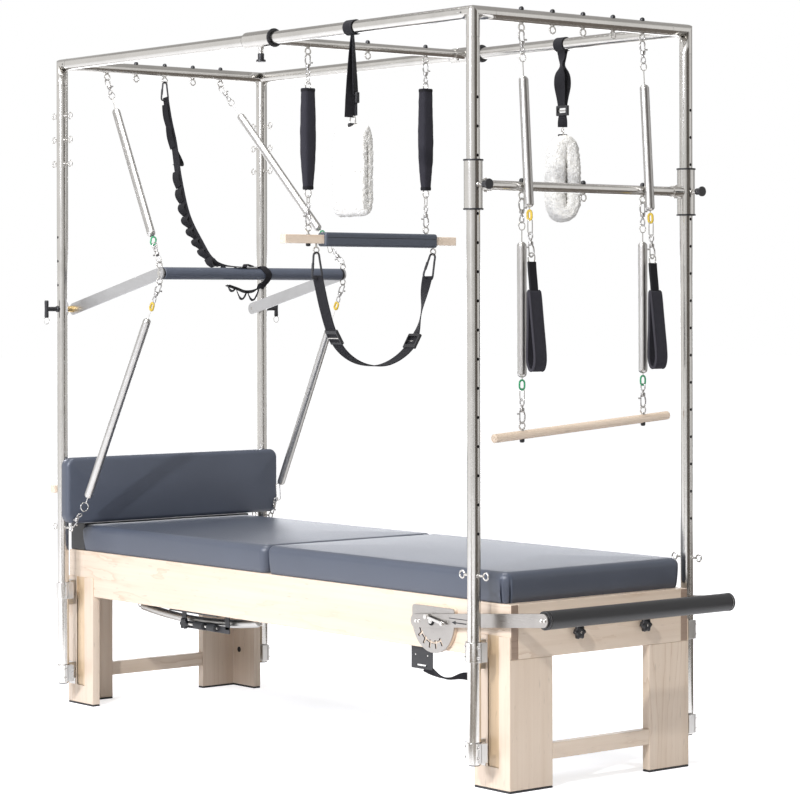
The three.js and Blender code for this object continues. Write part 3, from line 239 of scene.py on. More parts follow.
def joined(parts):
    deselect()
    for part in parts:
        part.select_set(True)
    bpy.context.view_layer.objects.active = parts[0]
    if len(parts) > 1:
        bpy.ops.object.join()
    return bpy.context.object


def copied(piece, matrix):
    """A copy of a piece with its own mesh, moved by a matrix."""
    twin = piece.copy()
    twin.data = piece.data.copy()
    bpy.context.scene.collection.objects.link(twin)
    twin.data.transform(matrix)
    if matrix.determinant() < 0:
        with editing(twin):
            bpy.ops.mesh.select_all(action="SELECT")
            bpy.ops.mesh.remove_doubles(threshold=TINY)
            bpy.ops.mesh.normals_make_consistent(inside=False)
        bpy.ops.mesh.customdata_custom_splitnormals_clear()
        smooth(twin)
    return twin


def moved(piece, matrix):
    """A piece put in its place as a fresh copy. The original goes."""
    twin = copied(piece, matrix)
    bpy.data.objects.remove(piece)
    return twin


def dress(name, parts, nodes, blend=None):
    """Joins the parts into one finished piece that stands for the CAD nodes."""
    piece = joined(parts)
    piece.name = name
    for node in nodes:
        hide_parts(node)
    if blend is None:
        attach(piece, frame["nodes"][nodes[0]]["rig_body"])
    else:
        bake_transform(piece)
    return piece


# Shapes
def turned(origin, way, rings, sides=32, rounding=0.0, finish=None):
    """A turned piece. rings are (distance along the axis, radius), from one face to the other."""
    (low, first), (high, second) = rings[:2]
    deselect()
    bpy.ops.mesh.primitive_cone_add(vertices=sides, radius1=first, radius2=second,
                                    depth=high - low, location=(0, 0, (low + high) / 2))
    piece = settle(bpy.context.object)
    with editing(piece):
        choose(piece, "FACE", lambda face: face.normal.z > 0.99
               and face.calc_center_median().z > high - TINY)
        for (near, inner), (far, outer) in zip(rings[1:], rings[2:]):
            bpy.ops.mesh.extrude_region_move(
                TRANSFORM_OT_translate={"value": (0, 0, far - near)})
            share = outer / inner
            bpy.ops.transform.resize(value=(share, share, 1))
    stand(piece, origin, way)
    if rounding:
        rounded(piece, rounding)
    smooth(piece)
    return painted(piece, finish) if finish else piece


def ring(origin, radius, wire, hole, finish, stretch=0.0, along=None, steps=28, sides=10):
    """A wire ring whose hole faces one way, drawn out along another into a long link."""
    deselect()
    bpy.ops.mesh.primitive_torus_add(major_radius=radius, minor_radius=wire,
                                     major_segments=steps, minor_segments=sides)
    piece = bpy.context.object
    if stretch:
        with editing(piece):
            for side in (1, -1):
                choose(piece, "VERT", lambda corner: corner.co.y * side > TINY * 10)
                bpy.ops.transform.translate(value=(0, side * stretch / 2, 0))
    stand(piece, origin, hole, along)
    return painted(smooth(piece, 60), finish)


def block(one, other):
    """A plain block between two corners."""
    low, high = Vector(map(min, one, other)), Vector(map(max, one, other))
    deselect()
    bpy.ops.mesh.primitive_cube_add(size=1, location=(low + high) / 2)
    piece = bpy.context.object
    piece.scale = high - low
    return settle(piece)


def board(one, other, rounding, finish, segments=3):
    """A board between two corners, with its edges eased."""
    piece = block(one, other)
    with editing(piece):
        bpy.ops.mesh.select_all(action="SELECT")
        bpy.ops.mesh.bevel(offset=rounding, segments=segments, affect="EDGES")
    return painted(smooth(piece), finish)


def eased(piece, rule, way, offset, segments):
    """Bevels the long edges that run along a way and whose corners meet a rule."""
    with editing(piece):
        choose(piece, "EDGE", lambda edge: all(rule(corner.co) for corner in edge.verts)
               and abs((edge.verts[0].co - edge.verts[1].co).dot(way)) > LONG_EDGE)
        bpy.ops.mesh.bevel(offset=offset, segments=segments, affect="EDGES")
    return piece


def flat_bar(length, width, thickness, rounding, tail=0.0, steps=32):
    """A flat bar with round ends along X, thick along Z."""
    deselect()
    bpy.ops.mesh.primitive_circle_add(vertices=steps, radius=width / 2, fill_type="NGON")
    piece = bpy.context.object
    with editing(piece):
        choose(piece, "VERT", lambda corner: corner.co.x > TINY)
        bpy.ops.transform.translate(value=(length, 0, 0))
        if tail:
            choose(piece, "VERT", lambda corner: corner.co.x < -TINY)
            bpy.ops.transform.translate(value=(-tail, 0, 0))
        bpy.ops.mesh.select_all(action="SELECT")
        bpy.ops.mesh.extrude_region_move(TRANSFORM_OT_translate={"value": (0, 0, thickness)})
        bpy.ops.mesh.select_all(action="SELECT")
        bpy.ops.transform.translate(value=(0, 0, -thickness / 2))
        bpy.ops.mesh.normals_make_consistent(inside=False)
    rounded(piece, rounding)
    return smooth(piece)


def carved(piece, cutter, shadow=None):
    """Cuts one piece away from another. The cut takes the shadow finish where one is given."""
    if shadow:
        painted(cutter, shadow)
    only(piece)
    cut = piece.modifiers.new("Cut", "BOOLEAN")
    cut.operation = "DIFFERENCE"
    cut.solver = "EXACT"
    cut.object = cutter
    if shadow:
        cut.material_mode = "TRANSFER"
    bpy.ops.object.modifier_apply(modifier=cut.name)
    bpy.data.objects.remove(cutter)
    return piece


def rods(spots, way, radius, depth, sides=16):
    """Short round cutters, one at each spot."""
    first = turned((0, 0, 0), way, [(-depth, radius), (depth, radius)], sides)
    copies = [copied(first, Matrix.Translation(spot)) for spot in spots]
    bpy.data.objects.remove(first)
    return joined(copies)


def wire(points, radius, finish, closed=False, sides=3):
    """A bent wire through points."""
    curve = bpy.data.curves.new("wire", "CURVE")
    curve.dimensions = "3D"
    spline = curve.splines.new("POLY")
    spline.points.add(len(points) - 1)
    for corner, place in zip(spline.points, points):
        corner.co = (*place, 1)
    spline.use_cyclic_u = closed
    curve.bevel_depth = radius
    curve.bevel_resolution = sides
    curve.use_fill_caps = True
    piece = bpy.data.objects.new("wire", curve)
    bpy.context.scene.collection.objects.link(piece)
    only(piece)
    bpy.ops.object.convert(target="MESH")
    return painted(smooth(bpy.context.object, 60), finish)


def smooth_line(points, count, closed=False):
    """Evenly spaced points on a smooth line through the given ones."""
    marks = [Vector(point) for point in points]
    total = len(marks)
    dense = []
    steps = 16
    for k in range(total if closed else total - 1):
        if closed:
            a, b, c, d = (marks[(k + n - 1) % total] for n in range(4))
        else:
            a, b, c, d = (marks[min(max(k + n - 1, 0), total - 1)] for n in range(4))
        for n in range(steps):
            t = n / steps
            dense.append((2 * b + (c - a) * t + (2 * a - 5 * b + 4 * c - d) * t * t
                          + (3 * b - a - 3 * c + d) * t ** 3) / 2)
    dense.append(dense[0] if closed else marks[-1])
    lengths = [0.0]
    for a, b in zip(dense, dense[1:]):
        lengths.append(lengths[-1] + (b - a).length)
    spaced = []
    k = 0
    for n in range(count):
        goal = lengths[-1] * n / (count if closed else count - 1)
        while k < len(lengths) - 2 and lengths[k + 1] < goal:
            k += 1
        share = (goal - lengths[k]) / max(lengths[k + 1] - lengths[k], 1e-9)
        spaced.append(dense[k].lerp(dense[k + 1], min(share, 1)))
    return spaced


def length_of(line):
    return sum((b - a).length for a, b in zip(line, line[1:]))


def from_mesh(name, corners, faces):
    """A piece made of corners and faces."""
    mesh = bpy.data.meshes.new(name)
    mesh.from_pydata(corners, [], faces)
    piece = bpy.data.objects.new(name, mesh)
    bpy.context.scene.collection.objects.link(piece)
    return piece


def rows_of_faces(rows, around, closed):
    """The faces between rows of points, with a cap at both ends unless the rows close."""
    faces = []
    for k in range(rows if closed else rows - 1):
        near, far = k * around, (k + 1) % rows * around
        for n in range(around):
            after = (n + 1) % around
            faces.append((near + n, near + after, far + after, far + n))
    if not closed:
        faces += [tuple(reversed(range(around))), tuple(range((rows - 1) * around, rows * around))]
    return faces


def swept(line, across, section, finish, closed=False):
    """A soft band swept along a line. across gives the way its width points, all along or at
    each point, and section is its outline as (across, out) pairs. Its UV runs in metres."""
    count, around = len(line), len(section)
    corners, lengths = [], [0.0]
    for k, centre in enumerate(line):
        before = line[(k - 1) % count] if closed or k else line[0]
        after = line[(k + 1) % count] if closed or k + 1 < count else line[-1]
        tangent = (after - before).normalized()
        wide = across[k] if isinstance(across, list) else across
        wide = (wide - tangent * wide.dot(tangent)).normalized()
        out = wide.cross(tangent)
        corners += [centre + wide * u + out * v for u, v in section]
        lengths.append(lengths[-1] + (line[(k + 1) % count] - centre).length)
    piece = from_mesh("band", corners, rows_of_faces(count, around, closed))
    girth = [0.0]
    for (u, v), (p, q) in zip(section, section[1:] + section[:1]):
        girth.append(girth[-1] + math.hypot(p - u, q - v))
    cloth = piece.data.uv_layers.new(name="cloth")
    rows = count if closed else count - 1
    for face in piece.data.polygons[:rows * around]:
        k, n = divmod(face.index, around)
        marks = ((k, n), (k, n + 1), (k + 1, n + 1), (k + 1, n))
        for loop, (row, side) in zip(face.loop_indices, marks):
            cloth.data[loop].uv = (lengths[row], girth[side])
    return painted(smooth(outward(piece), 50), finish)


def flat_section(width, thickness):
    """The outline of a flat woven strap, with soft selvedges."""
    w, t = width / 2, thickness / 2
    return [(-w, -t * 0.4), (-w * 0.97, -t), (0, -t), (w * 0.97, -t), (w, -t * 0.4),
            (w, t * 0.4), (w * 0.97, t), (0, t), (-w * 0.97, t), (-w, t * 0.4)]


def soft_section(width, thickness, steps=20):
    """The outline of a stuffed band."""
    points = []
    for k in range(steps):
        angle = 2 * math.pi * k / steps
        c, s = math.cos(angle), math.sin(angle)
        points.append((width / 2 * math.copysign(abs(c) ** 0.55, c),
                       thickness / 2 * math.copysign(abs(s) ** 0.55, s)))
    return points


# Finishes
def grow(tree, kind, sockets, **settings):
    """Adds a node, sets its settings, and gives each socket its value or its link."""
    made = tree.nodes.new(kind)
    for key, value in settings.items():
        setattr(made, key, value)
    for key, value in sockets.items():
        if isinstance(value, bpy.types.NodeSocket):
            tree.links.new(value, made.inputs[key])
        else:
            made.inputs[key].default_value = value
    return made


def effect(name, inputs, outputs, build):
    """A node group with named inputs and outputs."""
    group = bpy.data.node_groups.new(name, "ShaderNodeTree")
    for label, kind, value in inputs:
        socket = group.interface.new_socket(name=label, in_out="INPUT", socket_type=kind)
        if value is not None:
            socket.default_value = value
    for label, kind in outputs:
        group.interface.new_socket(name=label, in_out="OUTPUT", socket_type=kind)
    enter = group.nodes.new("NodeGroupInput").outputs
    leave = group.nodes.new("NodeGroupOutput").inputs
    for label, socket in build(group, enter).items():
        group.links.new(socket, leave[label])
    return group


def mixed(tree, share, first, second):
    return grow(tree, "ShaderNodeMix", {0: share, 6: first, 7: second}, data_type="RGBA").outputs[2]


def sum_of(tree, operation, first, second):
    return grow(tree, "ShaderNodeMath", {0: first, 1: second}, operation=operation).outputs[0]


def ranged(tree, value, low, high, to_low, to_high):
    return grow(tree, "ShaderNodeMapRange",
                {"Value": value, "From Min": low, "From Max": high, "To Min": to_low, "To Max": to_high}
                ).outputs[0]


def scaled(tree, vector, scale):
    return grow(tree, "ShaderNodeMapping", {"Vector": vector, "Scale": scale}).outputs[0]


def noise_of(tree, vector, scale, detail=3.0, roughness=0.5):
    return grow(tree, "ShaderNodeTexNoise",
                {"Vector": vector, "Scale": scale, "Detail": detail, "Roughness": roughness}).outputs[0]


def wood_grain(tree, enter):
    """Long fibres, broad cathedral figure and small flecks along X."""
    fibres = noise_of(tree, scaled(tree, enter["Vector"], (2.2, 70, 70)), 1, 5, 0.6)
    board_tone = noise_of(tree, scaled(tree, enter["Vector"], (0.6, 7, 7)), 1, 2)
    bent = noise_of(tree, scaled(tree, enter["Vector"], (1.4, 5, 5)), 1, 2)
    wave = grow(tree, "ShaderNodeTexWave", {
        "Vector": scaled(tree, enter["Vector"], (0.9, 6, 6)), "Scale": 2.2, "Distortion": 13.0,
        "Detail": 4.0, "Detail Scale": 1.1}, wave_type="BANDS", bands_direction="Y",
        wave_profile="SAW").outputs["Fac"]
    lines = sum_of(tree, "POWER", wave, 8.0)
    fleck = noise_of(tree, scaled(tree, enter["Vector"], (22, 120, 120)), 1, 1)
    flecks = ranged(tree, fleck, 0.68, 0.8, 0, 1)
    tone = sum_of(tree, "MULTIPLY", ranged(tree, fibres, 0.3, 0.7, 0, 1), 0.35)
    tone = sum_of(tree, "ADD", tone, sum_of(tree, "MULTIPLY", lines, ranged(tree, bent, 0.4, 0.62, 0, 0.8)))
    tone = sum_of(tree, "ADD", tone, ranged(tree, board_tone, 0.35, 0.7, 0, 0.3))
    colour = mixed(tree, tone, enter["Light wood"], enter["Dark wood"])
    colour = mixed(tree, sum_of(tree, "MULTIPLY", flecks, 0.3), colour, enter["Fleck"])
    return {"Colour": colour, "Height": fibres}


def leather_grain(tree, enter):
    """The fine pebble of vinyl cloth with broad, faint mottling."""
    cells = grow(tree, "ShaderNodeTexVoronoi", {"Vector": enter["Vector"], "Scale": enter["Scale"]},
                 feature="SMOOTH_F1").outputs["Distance"]
    fine = noise_of(tree, enter["Vector"], 1600, 2)
    height = sum_of(tree, "ADD", cells, sum_of(tree, "MULTIPLY", fine, 0.5))
    mottle = noise_of(tree, enter["Vector"], 5, 4)
    return {"Height": height, "Mottle": ranged(tree, mottle, 0.3, 0.7, 0, 1)}


def weave(tree, enter):
    """Crossed threads on a strap's own UV. Its mask follows the threads' height, with random fuzz, for
    painted shade between them and painted light on them.
    """
    threads = []
    for direction in ("X", "Y"):
        wave = grow(tree, "ShaderNodeTexWave", {"Vector": enter["Vector"], "Scale": enter["Threads"],
                                                "Distortion": 0.4, "Detail": 1.0, "Detail Scale": 2.0},
                    wave_type="BANDS", bands_direction=direction)
        threads.append(wave.outputs["Fac"])
    height = sum_of(tree, "MULTIPLY", *threads)
    fuzz = noise_of(tree, enter["Vector"], 400, 3)
    return {"Height": height, "Mask": ranged(tree, sum_of(tree, "ADD", height, fuzz), 0.3, 1.3, 0, 1)}


def polish(tree, enter):
    """Faint drawing lines and handling marks on metal."""
    lines = noise_of(tree, scaled(tree, enter["Vector"], enter["Stretch"]), 1, 4, 0.7)
    marks = noise_of(tree, enter["Vector"], 9, 5, 0.65)
    return {"Lines": lines, "Marks": ranged(tree, marks, 0.45, 0.75, 0, 1)}


def curls(tree, enter):
    """Small tight curls of pile, with a mask of the hollows between them for painted shade."""
    bent = grow(tree, "ShaderNodeTexNoise", {"Vector": enter["Vector"], "Scale": 60.0, "Detail": 2.0})
    shift = grow(tree, "ShaderNodeVectorMath", {0: bent.outputs["Color"], "Scale": 0.012}, operation="SCALE")
    place = grow(tree, "ShaderNodeVectorMath", {0: enter["Vector"], 1: shift.outputs[0]}, operation="ADD")
    cells = grow(tree, "ShaderNodeTexVoronoi", {"Vector": place.outputs[0], "Scale": enter["Scale"]},
                 feature="SMOOTH_F1").outputs["Distance"]
    fuzz = noise_of(tree, enter["Vector"], 700, 4, 0.7)
    height = sum_of(tree, "SUBTRACT", sum_of(tree, "MULTIPLY", fuzz, 0.6), cells)
    return {"Height": height, "Depth": ranged(tree, cells, 0.1, 0.55, 0, 1)}


EFFECTS = {
    "Wood grain": (wood_grain, [
        ("Vector", "NodeSocketVector", None), ("Light wood", "NodeSocketColor", (0.8, 0.63, 0.44, 1)),
        ("Dark wood", "NodeSocketColor", (0.55, 0.38, 0.22, 1)),
        ("Fleck", "NodeSocketColor", (0.3, 0.17, 0.08, 1)),
    ], [("Colour", "NodeSocketColor"), ("Height", "NodeSocketFloat")]),
    "Vinyl grain": (leather_grain, [
        ("Vector", "NodeSocketVector", None), ("Scale", "NodeSocketFloat", 700.0),
    ], [("Height", "NodeSocketFloat"), ("Mottle", "NodeSocketFloat")]),
    "Strap weave": (weave, [
        ("Vector", "NodeSocketVector", None), ("Threads", "NodeSocketFloat", 160.0),
    ], [("Height", "NodeSocketFloat"), ("Mask", "NodeSocketFloat")]),
    "Metal polish": (polish, [
        ("Vector", "NodeSocketVector", None), ("Stretch", "NodeSocketVector", (400.0, 400.0, 4.0)),
    ], [("Lines", "NodeSocketFloat"), ("Marks", "NodeSocketFloat")]),
    "Fleece curls": (curls, [
        ("Vector", "NodeSocketVector", None), ("Scale", "NodeSocketFloat", 260.0),
    ], [("Height", "NodeSocketFloat"), ("Depth", "NodeSocketFloat")]),
}


def new_finish(name, principled):
    """A material with its shader's plain values set. Returns its tree, shader and coordinates."""
    material = bpy.data.materials.new(name)
    material.use_nodes = True
    tree = material.node_tree
    shader = tree.nodes["Principled BSDF"]
    for key, value in principled.items():
        shader.inputs[key].default_value = value
    return tree, shader, tree.nodes.new("ShaderNodeTexCoord").outputs


def use(tree, name, sockets):
    return grow(tree, "ShaderNodeGroup", sockets, node_tree=bpy.data.node_groups[name]).outputs


def bumped(tree, shader, height, distance, strength=1.0):
    bump = grow(tree, "ShaderNodeBump", {"Height": height, "Distance": distance, "Strength": strength})
    tree.links.new(bump.outputs[0], shader.inputs["Normal"])


def colour(value):
    return (*value, 1)


def shade(value, share):
    return (*[channel * share for channel in value[:3]], 1)


def metal_finish(name, base, roughness, stretch, spread=0.08, bump=0.00001, metallic=1.0):
    tree, shader, places = new_finish(name, {"Metallic": metallic, "Roughness": roughness})
    marks = use(tree, "Metal polish", {"Vector": places["Object"], "Stretch": stretch})
    tree.links.new(mixed(tree, marks["Marks"], colour(base), shade(base, 0.88)), shader.inputs["Base Color"])
    rough = ranged(tree, marks["Lines"], 0.3, 0.7, roughness, roughness + spread)
    tree.links.new(rough, shader.inputs["Roughness"])
    bumped(tree, shader, marks["Lines"], bump)


def wood_finish(name, light, dark, turn, shift):
    tree, shader, places = new_finish(name, {"Roughness": 0.42, "Coat Weight": 0.15, "Coat Roughness": 0.3})
    mapping = grow(tree, "ShaderNodeMapping",
                   {"Vector": places["Object"], "Rotation": turn, "Location": shift})
    grain = use(tree, "Wood grain", {"Vector": mapping.outputs[0], "Light wood": colour(light),
                                     "Dark wood": colour(dark), "Fleck": shade(dark, 0.5)})
    tree.links.new(grain["Colour"], shader.inputs["Base Color"])
    tree.links.new(ranged(tree, grain["Height"], 0.3, 0.7, 0.38, 0.5), shader.inputs["Roughness"])
    bumped(tree, shader, grain["Height"], 0.00012, 0.5)


def vinyl_finish(name, base, roughness, scale):
    tree, shader, places = new_finish(name, {"Roughness": roughness, "Specular IOR Level": 0.6})
    grain = use(tree, "Vinyl grain", {"Vector": places["Object"], "Scale": scale})
    tree.links.new(mixed(tree, grain["Mottle"], shade(base, 0.94), shade(base, 1.05)),
                   shader.inputs["Base Color"])
    tree.links.new(ranged(tree, grain["Height"], 0.2, 0.9, roughness - 0.04, roughness + 0.08),
                   shader.inputs["Roughness"])
    bumped(tree, shader, grain["Height"], 0.00012, 0.55)


def plastic_finish(name, base, roughness, bump=0.00004):
    tree, shader, places = new_finish(name, {"Roughness": roughness})
    grain = use(tree, "Vinyl grain", {"Vector": places["Object"], "Scale": 1500.0})
    tree.links.new(mixed(tree, grain["Mottle"], shade(base, 0.8), shade(base, 1.2)),
                   shader.inputs["Base Color"])
    bumped(tree, shader, grain["Height"], bump, 0.6)


def webbing_finish(name, base, threads, sheen):
    tree, shader, places = new_finish(name, {"Roughness": 0.78, "Sheen Weight": sheen,
                                             "Sheen Roughness": 0.4, "Specular IOR Level": 0.2})
    cloth = use(tree, "Strap weave", {"Vector": places["UV"], "Threads": threads})
    # The webbing is painted darker in the hollows of the weave and lighter on the raised threads: painted
    # shade and highlight, with random fuzz.
    tree.links.new(mixed(tree, cloth["Mask"], shade(base, 0.55), shade(base, 1.35)),
                   shader.inputs["Base Color"])
    bumped(tree, shader, cloth["Height"], 0.0004, 0.7)


def fleece_finish(name, light, deep):
    tree, shader, places = new_finish(name, {"Roughness": 0.95, "Sheen Weight": 0.35, "Sheen Roughness": 0.5})
    pile = use(tree, "Fleece curls", {"Vector": places["Object"], "Scale": 210.0})
    # The light fleece turns to the deeper tone in the hollows between the curls: painted shade.
    tree.links.new(mixed(tree, pile["Depth"], colour(light), colour(deep)), shader.inputs["Base Color"])
    bumped(tree, shader, pile["Height"], 0.0035, 0.8)


# The sizes and colours that a user would change
def size_value(label, text, value):
    return bpy.props.FloatProperty(name=label, description=text, default=value, min=0.0,
                                   subtype="DISTANCE", unit="LENGTH", precision=4)


def colour_value(label, text, value):
    return bpy.props.FloatVectorProperty(name=label, description=text, default=value, size=3,
                                         min=0.0, max=1.0, subtype="COLOR")


class TableSizes(bpy.types.PropertyGroup):
    wood_rounding: size_value("Wood rounding", "How far the edges of the boards are eased", 0.0025)
    metal_rounding: size_value("Metal rounding", "How far the edges of the metal are eased", 0.0009)
    mat_crown: size_value("Mat crown", "How far a mat's middle stands above its edge", 0.006)
    pleat_depth: size_value("Pleat depth", "How deep the folded corners of a mat are", 0.0075)
    spring_wire: size_value("Spring wire", "The thickness of a spring's wire", 0.0026)
    fleece_pile: size_value("Fleece pile", "How far the curls of the fleece stand up", 0.006)


class TableColours(bpy.types.PropertyGroup):
    light_wood: colour_value("Light wood", "The pale tone of the maple", (0.775, 0.648, 0.52))
    dark_wood: colour_value("Dark wood", "The tone of the maple's figure", (0.62, 0.47, 0.34))
    vinyl: colour_value("Vinyl", "The blue-grey of the mats", (0.062, 0.073, 0.1))
    steel: colour_value("Steel", "The polished tubes", (0.63, 0.615, 0.59))
    satin: colour_value("Satin steel", "The flat arms", (0.52, 0.52, 0.525))
    black: colour_value("Black", "Plastic, rubber and webbing", (0.014, 0.014, 0.016))
    fleece: colour_value("Fleece", "The pile of the hanging loops", (0.72, 0.712, 0.685))
    strong_tag: colour_value("Green tag", "The mark on the lighter springs", (0.03, 0.29, 0.12))
    heavy_tag: colour_value("Yellow tag", "The mark on the heavier springs", (0.62, 0.43, 0.04))


def sizes():
    return bpy.context.scene.trapeze_sizes


def colours():
    return bpy.context.scene.trapeze_colours


class FINISHES_OT_make(bpy.types.Operator):
    """Makes the finishes: steel, maple, vinyl, plastic, webbing and fleece"""

    bl_idname = "trapeze.finishes"
    bl_label = "Finishes"

    def execute(self, context):
        for name, (build, inputs, outputs) in EFFECTS.items():
            effect(name, inputs, outputs, build)
        tones = colours()
        steel = tuple(tones.steel)
        metal_finish("polished steel", steel, 0.13, (300, 300, 5))
        metal_finish("spring steel", (0.5, 0.49, 0.475), 0.3, (60, 60, 60))
        metal_finish("hook steel", (0.45, 0.44, 0.43), 0.24, (60, 60, 60))
        metal_finish("satin steel", tuple(tones.satin), 0.34, (6, 300, 300), 0.12, 0.00002)
        metal_finish("rolled steel", (0.4, 0.38, 0.36), 0.26, (6, 300, 300), 0.1, 0.00001)
        metal_finish("cast steel", (0.53, 0.52, 0.505), 0.26, (30, 30, 30), 0.1, 0.00004)
        metal_finish("brass", (0.72, 0.52, 0.24), 0.3, (60, 60, 60))
        half_turn = math.pi / 2
        light, dark = tuple(tones.light_wood), tuple(tones.dark_wood)
        wood_finish("maple along", light, dark, (0, 0, 0), (0, 0, 0))
        wood_finish("maple across", light, dark, (0, 0, half_turn), (3, 1, 2))
        wood_finish("maple upright", light, dark, (0, half_turn, 0), (5, 4, 1))
        # Darker, warmer maple for the grooves behind the posts: painted shade in the recess.
        wood_finish("shaded maple groove", (0.72, 0.55, 0.36), (0.58, 0.41, 0.25), (0, half_turn, 0), (1, 2, 6))
        # The rails' end grain: its own darker tone, made darker still with painted shade.
        wood_finish("maple end grain and shade", (0.34, 0.24, 0.175), (0.22, 0.145, 0.1),
                    (0, half_turn, half_turn), (2, 7, 3))
        vinyl_finish("blue-grey vinyl", tuple(tones.vinyl), 0.35, 750.0)
        vinyl_finish("dark blue vinyl", (0.056, 0.066, 0.087), 0.42, 900.0)
        # Near-black vinyl of the foot grip; the same finish is painted shade on the block in the gap under
        # the headboard.
        vinyl_finish("grip vinyl and gap shade", (0.014, 0.014, 0.0155), 0.42, 900.0)
        black = tuple(tones.black)
        plastic_finish("black plastic", black, 0.38)
        plastic_finish("black rubber", (0.018, 0.018, 0.02), 0.62, 0.0001)
        plastic_finish("black powder coat", (0.022, 0.022, 0.025), 0.5, 0.0001)
        plastic_finish("deep shadow", (0.006, 0.005, 0.005), 0.8)
        plastic_finish("green tag", tuple(tones.strong_tag), 0.4)
        plastic_finish("yellow tag", tuple(tones.heavy_tag), 0.4)
        webbing_finish("black webbing", (0.0135, 0.013, 0.016), 260.0, 0.04)
        webbing_finish("black cover cloth", (0.031, 0.0295, 0.039), 420.0, 0.08)
        webbing_finish("edge binding", (0.045, 0.042, 0.052), 500.0, 0.1)
        fleece_finish("white fleece", tuple(tones.fleece), (0.63, 0.61, 0.56))
        return {"FINISHED"}


# Small parts that repeat
STEEL = "polished steel"
CAST = "cast steel"
ROLLED = "rolled steel"
HOOK = "hook steel"
PLASTIC = "black plastic"
RUBBER = "black rubber"
COAT = "black powder coat"
WEBBING = "black webbing"
SHADOW = "deep shadow"
VINYL = "blue-grey vinyl"
CROSSWISE = "maple across"

